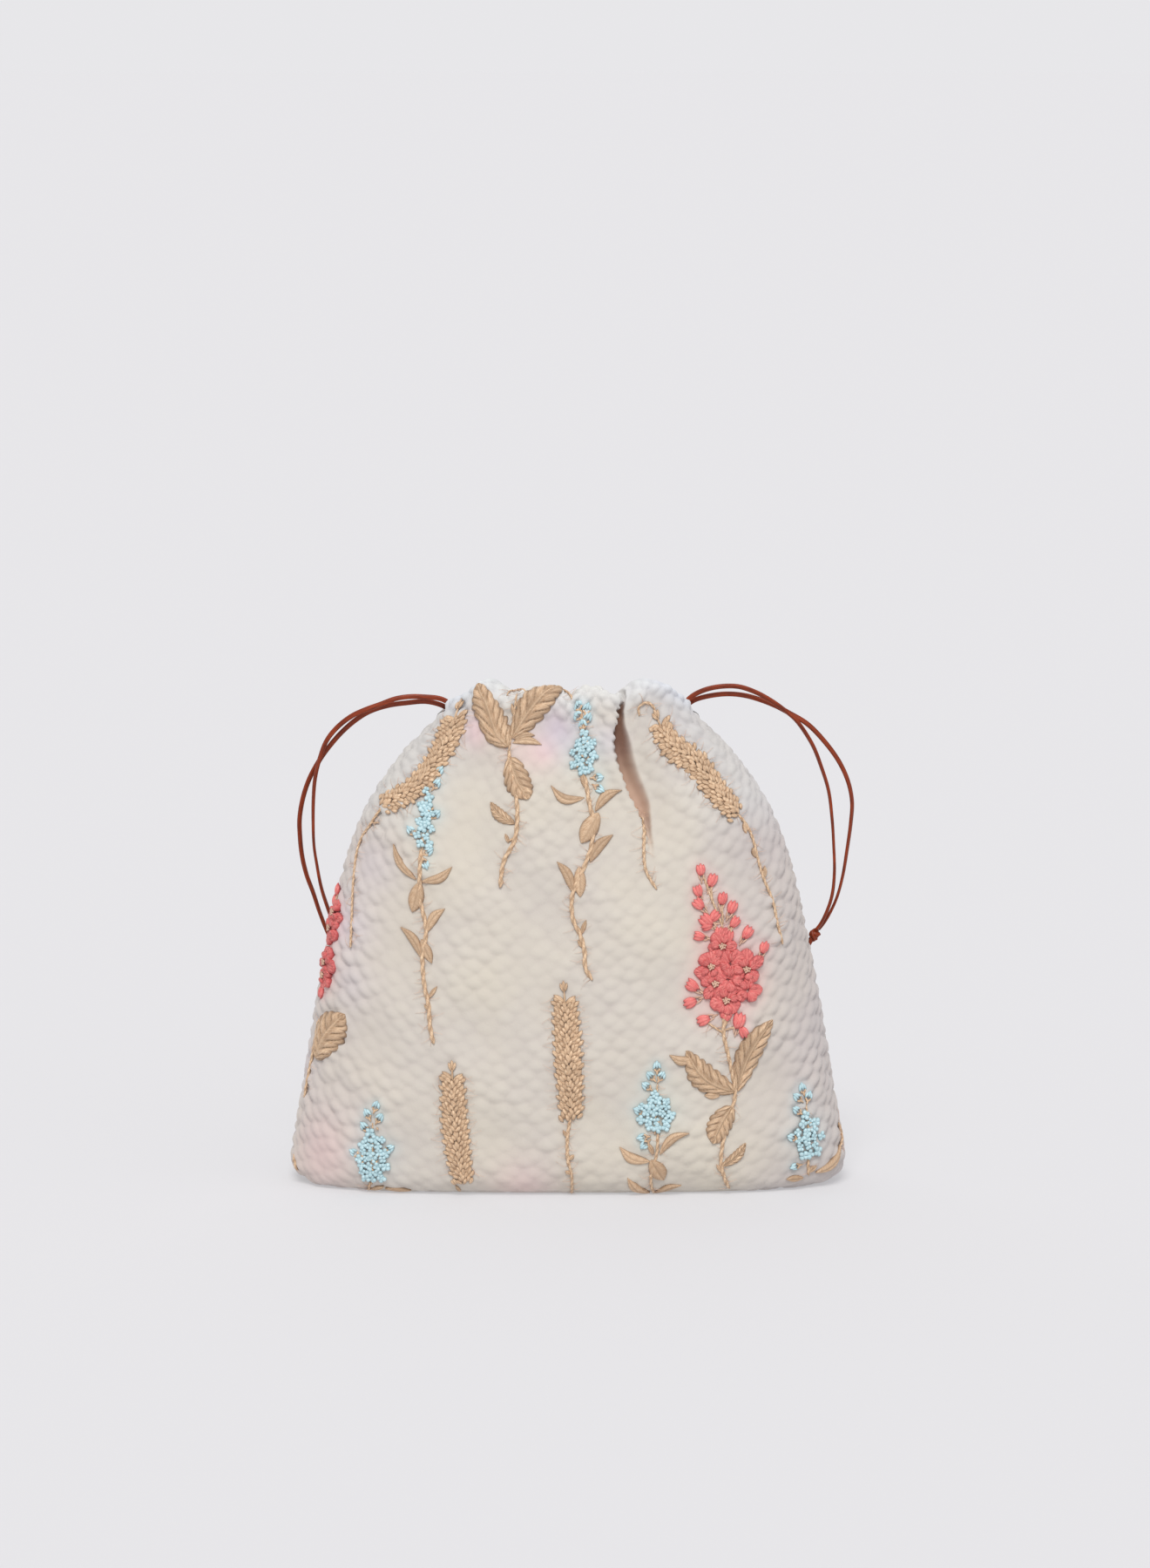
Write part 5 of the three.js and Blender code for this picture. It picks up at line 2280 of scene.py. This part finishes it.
    def grain(self, pile: str, place: Array, angle: float, size: Triple, height: float = 0.3,
              skew: float = 1.0) -> None:
        """One padded stitch: an almond, or a petal that is fuller at its far end.

        Args:
            pile: the pile that it goes to.
            place: its middle on the cloth.
            angle: its direction, in radians.
            size: its length, width and thickness.
            height: height of its middle over the cloth.
            skew: 1 for an almond, more for a petal.
        """
        sizes = self.grains
        rings, sides = sizes.rings, sizes.sides
        u = np.linspace(0, 1, rings + 2)[1:-1][:, None]
        turn = np.linspace(0, 2 * math.pi, sides, endpoint=False)[None]
        radius = np.sin(math.pi * u**skew) ** sizes.roundness
        a = np.concatenate([[-0.5], np.broadcast_to(u - 0.5, (rings, sides)).ravel(), [0.5]]) * size[0]
        b = np.concatenate([[0], (radius * np.cos(turn)).ravel(), [0]]) * size[1] / 2
        c = np.concatenate([[0], (radius * np.sin(turn)).ravel(), [0]]) * size[2] / 2
        way = aim(angle)
        beside = left_of(way)
        s, t = (place[k] + way[k] * a + beside[k] * b for k in (0, 1))
        points = self.ground.lift(s, t, height + c)
        faces = [[corner + 1 for corner in face] for face in grid_faces(rings, sides, True, True)]
        last = 1 + (rings - 1) * sides
        for k in range(sides):
            beyond = (k + 1) % sides
            faces.append([1 + k, 1 + beyond, 0])
            faces.append([last + beyond, last + k, rings * sides + 1])
        shift = self.rng.uniform(*sizes.shift)
        # Painted light on the stitch's top and painted shade at its foot, with a random brightness for each
        # stitch.
        lit = smoothstep(*sizes.top_light, 2 * c / size[2])
        lit = lit * smoothstep(*sizes.foot_light, a / size[0] + 0.5) * self.rng.uniform(*sizes.tones)
        self.piles[pile].add(points, faces, np.stack([a, b * sizes.strand_pitch + c + shift, lit], axis=1))

    def ear(self, line: Array, width: float) -> None:
        """An ear of grain.

        Args:
            line: places from its foot to its tip.
            width: its width.
        """
        sizes = self.ears
        path = rounded_path(line, sizes.pitch)
        ahead = unit(np.gradient(path, axis=0))
        rows = round(sizes.rows * len(path))
        for i in range(-sizes.foot_rows, rows):
            share = max(i, 0) / (rows - 1)
            sign = 1 if i % 2 else -1
            broad = width / 2 * (sizes.breadth[0] + sizes.breadth[1] * math.sin(math.pi * share))
            way = ahead[max(i, 0)]
            heading = angle_of(way)
            beside = left_of(way) * sign
            slope = broad * (beside + way * sizes.slope)
            foot = path[max(i, 0)] + way * min(i, 0) * sizes.pitch
            if i >= 0:
                middle = foot + slope * sizes.bed_out + way * sizes.pitch
                turn = heading + sign * math.atan2(1, sizes.slope)
                bed = (sizes.bed_length * broad, *sizes.bed_section)
                self.grain("ears", middle, turn, bed, sizes.bed_height)
                self.fibre(foot + slope, angle_of(beside))
            for out, lean, rise in sizes.fans[i // 2 % 2]:
                if i * sizes.pitch + out * broad * sizes.slope < 0:
                    continue
                turn = heading + sign * (lean + self.rng.normal(0, sizes.lean_stray))
                long = sizes.grain_length[0] + sizes.grain_length[1] * broad
                long = long * self.rng.uniform(*sizes.grain_spread)
                place = foot + slope * out + way * self.rng.normal(0, sizes.place_stray)
                self.grain("ears", place, turn, (long, *sizes.grain_section), rise, sizes.skew)
        across = left_of(ahead[-1])
        gap = len(path) - rows
        stalk = (gap * sizes.pitch, sizes.stalk, sizes.stalk)
        self.grain("ears", path[rows + gap // 3], heading, stalk, sizes.stalk_height)
        for lean in (-1, 1, 0):
            back = sizes.bud_back - sizes.bud_push * (lean == 0)
            place = path[-1] - ahead[-1] * back + across * lean * sizes.bud_spread
            rise = sizes.bud_height + sizes.bud_rise * (lean == 0)
            self.grain("ears", place, heading + lean * sizes.bud_turn, sizes.bud, rise, sizes.skew)

    def bud(self, kind: BudStitch, place: Array, angle: float, length: float) -> None:
        """A closed bud of three lobes on a forked stalk.

        Args:
            kind: its form and threads.
            place: its middle on the cloth.
            angle: its direction, in radians.
            length: its length.
        """
        way = aim(angle)
        beside = left_of(way) * length
        for lean in (-1, 1, 0):
            lobe = place + beside * lean * kind.spread + way * kind.push * (lean == 0)
            size = (length * self.rng.uniform(*kind.lengths), length * kind.lobe_width, kind.thick)
            height = kind.height + kind.rise * (lean == 0)
            self.grain(kind.lobe_pile, lobe, angle + lean * kind.turn, size, height, kind.skew)
        foot = place - way * length * kind.foot
        fork = (length * kind.fork_length, kind.fork_width, kind.fork_width)
        for lean in (-1, 1):
            prong = foot + beside * lean * kind.fork_spread
            self.grain(kind.stalk_pile, prong, angle + lean * kind.fork_turn, fork, kind.fork_height)
        self.grain(kind.stalk_pile, foot - way * kind.stalk_back, angle, kind.stalk, kind.stalk_height)
        self.halos.append((place, kind.halo, kind.thread))

    def floret(self, place: Array, radius: float) -> None:
        """A small blue flower of four petals.

        Args:
            place: its middle on the cloth.
            radius: its radius.
        """
        sizes = self.spikes
        step = 2 * math.pi / sizes.petals
        spin = self.rng.uniform(0, step)
        self.grain("florets", place, spin, tuple(radius * share for share in sizes.core), sizes.core_height)
        for k in range(sizes.petals):
            angle = spin + k * step + self.rng.normal(0, sizes.petal_turn)
            middle = place + aim(angle) * radius * sizes.petal_out
            long, broad = (self.rng.uniform(*span) for span in (sizes.petal_lengths, sizes.petal_widths))
            size = (radius * long, radius * broad, radius * sizes.petal_thick)
            height = sizes.petal_height + self.rng.uniform(0, sizes.petal_rise)
            self.grain("florets", middle, angle, size, height, sizes.petal_skew)

    def spike(self, loose: Array, ends: Array, width: float) -> None:
        """A spike of blue florets with tan specks and twigs.

        Args:
            loose: places of single buds.
            ends: places of the dense head's foot and top.
            width: the head's width.
        """
        sizes = self.spikes
        axis = ends[1] - ends[0]
        length = float(np.hypot(*axis))
        ahead = axis / length
        self.halos.append(((ends[0] + ends[1]) / 2, width * sizes.halo, Thread.BLUE))
        for place in loose:
            along = float(np.clip((place - ends[0]) @ ahead / length, 0, sizes.bud_reach))
            out = place - (ends[0] + axis * (along - sizes.bud_lag))
            self.bud(CUP, place, angle_of(out), sizes.bud_length)
        below, above = sizes.twig_ends
        twig = np.vstack([ends[0] - ahead * below, ends[0] + axis * 0.5, ends[1] + ahead * above])
        self.stem(rounded_path(twig, sizes.twig_step), sizes.twig_width)
        rows = max(int(length / (sizes.pitch * sizes.row_pitch)), 2)
        for row in range(rows + 1):
            share = row / rows
            breadth = max(1 - (sizes.narrowing * (share - sizes.fullest)) ** 2, sizes.least_breadth)
            count = max(int(width * math.sqrt(breadth) / sizes.pitch), 1)
            for k in range(count):
                across = (k - (count - 1) / 2 + (row % 2 - 0.5) * sizes.row_shift) * sizes.pitch
                place = ends[0] + axis * share + left_of(ahead) * across
                place = place + self.rng.normal(0, sizes.stray, 2)
                self.floret(place, self.rng.uniform(*sizes.radius))
                if self.rng.uniform() < sizes.speck_share:
                    speck = place + self.rng.normal(0, sizes.speck_stray, 2)
                    angle = self.rng.uniform(0, math.pi)
                    self.grain("stems", speck, angle, sizes.speck, sizes.speck_height)

    def flower(self, place: Array, radius: float, heart: bool) -> None:
        """An open coral flower: five broad pointed petals and four inner ones round a grainy heart.

        Args:
            place: its middle on the cloth.
            radius: its radius.
            heart: true where the heart shows.
        """
        sizes = self.flowers
        draw = self.rng.uniform
        for count, share, inner, floor in sizes.whorls:
            spin = draw(0, 2 * math.pi)
            for k in range(count):
                way = aim(spin + k * 2 * math.pi / count + self.rng.normal(0, sizes.turn_stray))
                long = radius * share * draw(*sizes.lengths)
                ends = np.array([place + way * radius * inner, place + way * long])
                broad = radius * share * draw(*sizes.widths)
                bow = self.rng.normal(0, sizes.bow_stray)
                rise, lift, light = (draw(*span) for span in (sizes.rises, sizes.lifts, sizes.lights))
                self.satin("blooms", ends, broad, LeafKind.PETAL, bow, rise, floor + lift, light)
        for k in range(sizes.beads if heart else 0):
            angle = k * sizes.bead_turn
            bead = place + aim(angle) * sizes.bead_out * math.sqrt(k)
            self.grain("hearts", bead, angle, sizes.bead, sizes.bead_height)
        self.halos.append((place, radius * sizes.halo, Thread.CORAL))


# Painted shade on the pleat's floor: pale at its foot, deep brown at its top under the lip.
PLEAT_SHADE_FOOT = (206, 176, 156)
PLEAT_SHADE_TOP = (132, 98, 80)
# Painted sheen on the rim, and painted shade on the sides: paler at the shoulders, darker on the right than
# on the left.
RIM_SHEEN = (224, 225, 224)
SHOULDER_SHADE = (206, 205, 206)
LEFT_SIDE_SHADE = (205, 197, 192)
RIGHT_SIDE_SHADE = (196, 188, 187)
HALOS = {Thread.BLUE: ((196, 224, 228), 0.25), Thread.CORAL: ((240, 190, 188), 0.31)}


@dataclass
class Pouch:
    """The whole bag: its form, its two panels and what is stitched on them."""

    form: PouchForm
    camera: PhotoCamera
    columns: int = 288
    row_step: float = 0.82
    puffs: Puffs = field(default_factory=Puffs)
    grounds: dict[Side, Ground] = field(default_factory=dict)

    def survey(self) -> None:
        """Lay both panels' faces and say where the chart sees each of their points."""
        for side in Side:
            ground = Ground(self.form, side, self.columns, self.row_step)
            see = self.camera.see if side is Side.FRONT else self.chart_from_behind
            ground.seen = see(ground.smooth)
            self.puffs.billow_over(ground)
            if side is Side.FRONT:
                Pleat().press(ground)
            ground.facing = ground.normals(ground.points)
            self.grounds[side] = ground

    def chart_from_behind(self, points: Array) -> Array:
        """Where points of the back are seen from behind, in the same pixels as the front.

        Args:
            points: points in the pouch's frame.

        Returns:
            Their pixels, across and down.
        """
        pixel = self.camera.distance * self.camera.sensor / self.camera.lens / max(self.camera.image)
        floor = self.camera.see(np.zeros((1, 3)))[0, 1]
        return np.stack([CHART_MIDDLE - points[..., 0] / pixel, floor - points[..., 2] / pixel], axis=-1)

    def embroider(self, materials: dict[Thread, Material]) -> dict[Side, Embroidery]:
        """Stitch both panels.

        Args:
            materials: the thread finishes.

        Returns:
            Each panel's embroidery.
        """
        works = {side: Embroidery(ground, materials) for side, ground in self.grounds.items()}
        for sprig in SPRIGS.values():
            works[Side.FRONT].stitch(sprig)
        for placing in BACK_PLACINGS:
            works[Side.BACK].stitch(SPRIGS[placing.sprig], placing)
        return works

    def paint_tints_and_shade(self, work: Embroidery) -> Array:
        """The soft colour over one panel: its own patches of tint and painted shade, painted sheen on the
        rim, painted shade on the sides and in the pleat, and a halo round each flower.

        Args:
            work: the panel's embroidery.

        Returns:
            The colours, a row for each point of the panel's face.
        """
        ground = work.ground
        painting = TintAndShade(ground)
        for patch in TINTS_AND_SHADE if ground.side is Side.FRONT else ():
            places, _ = ground.locate(np.array([[patch.x, patch.y]]))
            painting.add(places[0], patch.reach, patch.colour, patch.strength)
        painting.paint_rim_sheen_and_side_shade(RIM_SHEEN, SHOULDER_SHADE, LEFT_SIDE_SHADE, RIGHT_SIDE_SHADE)
        painting.sink(PLEAT_SHADE_FOOT, PLEAT_SHADE_TOP)
        for place, reach, thread in work.halos:
            painting.add(place, reach, *HALOS[thread])
        return painting.colour.reshape(-1, 3)

    def clothe(self, works: dict[Side, Embroidery], cloth: Material, reverse: Material) -> list[Piece]:
        """Make both panels.

        Args:
            works: each panel's embroidery, which stains it.
            cloth: finish of the outer faces.
            reverse: finish of the inner faces.

        Returns:
            The pieces.
        """
        pieces = []
        for side, ground in self.grounds.items():
            panel = ClothPanel(self.form, side, ground, self.puffs, tints_and_shade=self.paint_tints_and_shade(works[side]))
            pieces += panel.build(cloth, reverse)
        return pieces


class Lamp(NamedTuple):
    """A soft distant light: its turn and spread in degrees, its strength and its colour from 0 to 1."""

    name: str
    turn: Triple
    strength: float
    spread: float
    colour: Colour


@dataclass
class Studio:
    """A pale floor that runs out to the horizon, and soft light."""

    floor_colour: Colour = (173, 172.6, 174.6)
    floor_glow: float = 0.82
    floor_roughness: float = 0.95
    sky_colour: Colour = (0.982, 0.976, 1.0)
    sky_light: float = 0.48
    sky_seen: float = 0.8174
    reach: float = 60000.0
    lamps: tuple[Lamp, ...] = (
        Lamp("key", (38, 0, -5), 1.75, 26, (1.0, 0.985, 0.96)),
        Lamp("rear", (-50, 0, 12), 0.5, 70, (1.0, 0.99, 0.98)),
        Lamp("fill", (45, 0, 35), 0.4, 80, (0.97, 0.98, 1.0)),
    )

    def build(self) -> None:
        """Make the floor and the lights."""
        ends = (-self.reach * MM, self.reach * MM)
        mesh = bpy.data.meshes.new("floor")
        mesh.from_pydata([(x, y, 0.0) for y in ends for x in ends], [], grid_faces(2, 2))
        floor = bpy.data.objects.new("floor", mesh)
        bpy.context.scene.collection.objects.link(floor)
        material, shader, surface = new_material("pale_paper")
        colour = linear(*self.floor_colour)
        shader.fill(surface, Base_Color=colour, Roughness=self.floor_roughness, Specular_IOR_Level=0.0,
                    Emission_Color=colour, Emission_Strength=self.floor_glow)
        mesh.materials.append(material)
        for lamp in self.lamps:
            data = bpy.data.lights.new(lamp.name, "SUN")
            data.energy = lamp.strength
            data.angle = math.radians(lamp.spread)
            data.color = lamp.colour
            sun = bpy.data.objects.new(lamp.name, data)
            sun.rotation_euler = [math.radians(value) for value in lamp.turn]
            bpy.context.scene.collection.objects.link(sun)
        self.sky()

    def sky(self) -> None:
        """Set the even light from all round."""
        world = bpy.data.worlds.new("studio")
        world.use_nodes = True
        shader = Shader(world.node_tree)
        seen = shader.add("LightPath").outputs["Is Camera Ray"]
        shader.fill(world.node_tree.nodes["Background"], Color=(*self.sky_colour, 1.0),
                    Strength=shader.scaled(seen, self.sky_light, self.sky_seen))
        bpy.context.scene.world = world


def report(pieces: list[Piece]) -> None:
    """Log each piece with the number of its faces."""
    for piece in pieces:
        log.info("%s: %d faces", piece.name, len(piece.data.polygons))


def main() -> None:
    """Build the pouch, piece by piece, and its studio."""
    logging.basicConfig(level=logging.INFO, format="%(name)s: %(message)s")
    bpy.context.scene.view_settings.view_transform = "Standard"
    camera = PhotoCamera()
    camera.place()
    form = PouchForm()
    leather = LaceFinish().make()
    laces = (
        Lace(form, LaceEnd.LEFT, level=187.6, knot_middle=(-91.5, 23, 85.5), knot_axis=(0.15, 0.2, -0.97)),
        Lace(form, LaceEnd.RIGHT, level=185.3, knot_middle=(98.7, 4.4, 98.2), knot_axis=(-0.5, 0.15, -0.85)),
    )
    for lace in laces:
        report(lace.build(leather))
    effects = Effects()
    pouch = Pouch(form, camera)
    pouch.survey()
    works = pouch.embroider({thread: thread.value.make(effects) for thread in Thread})
    for work in works.values():
        report(work.make())
    report(pouch.clothe(works, ClothFinish().make(effects), ReverseFinish().make(effects)))
    Studio().build()


if __name__ == "__main__":
    main()
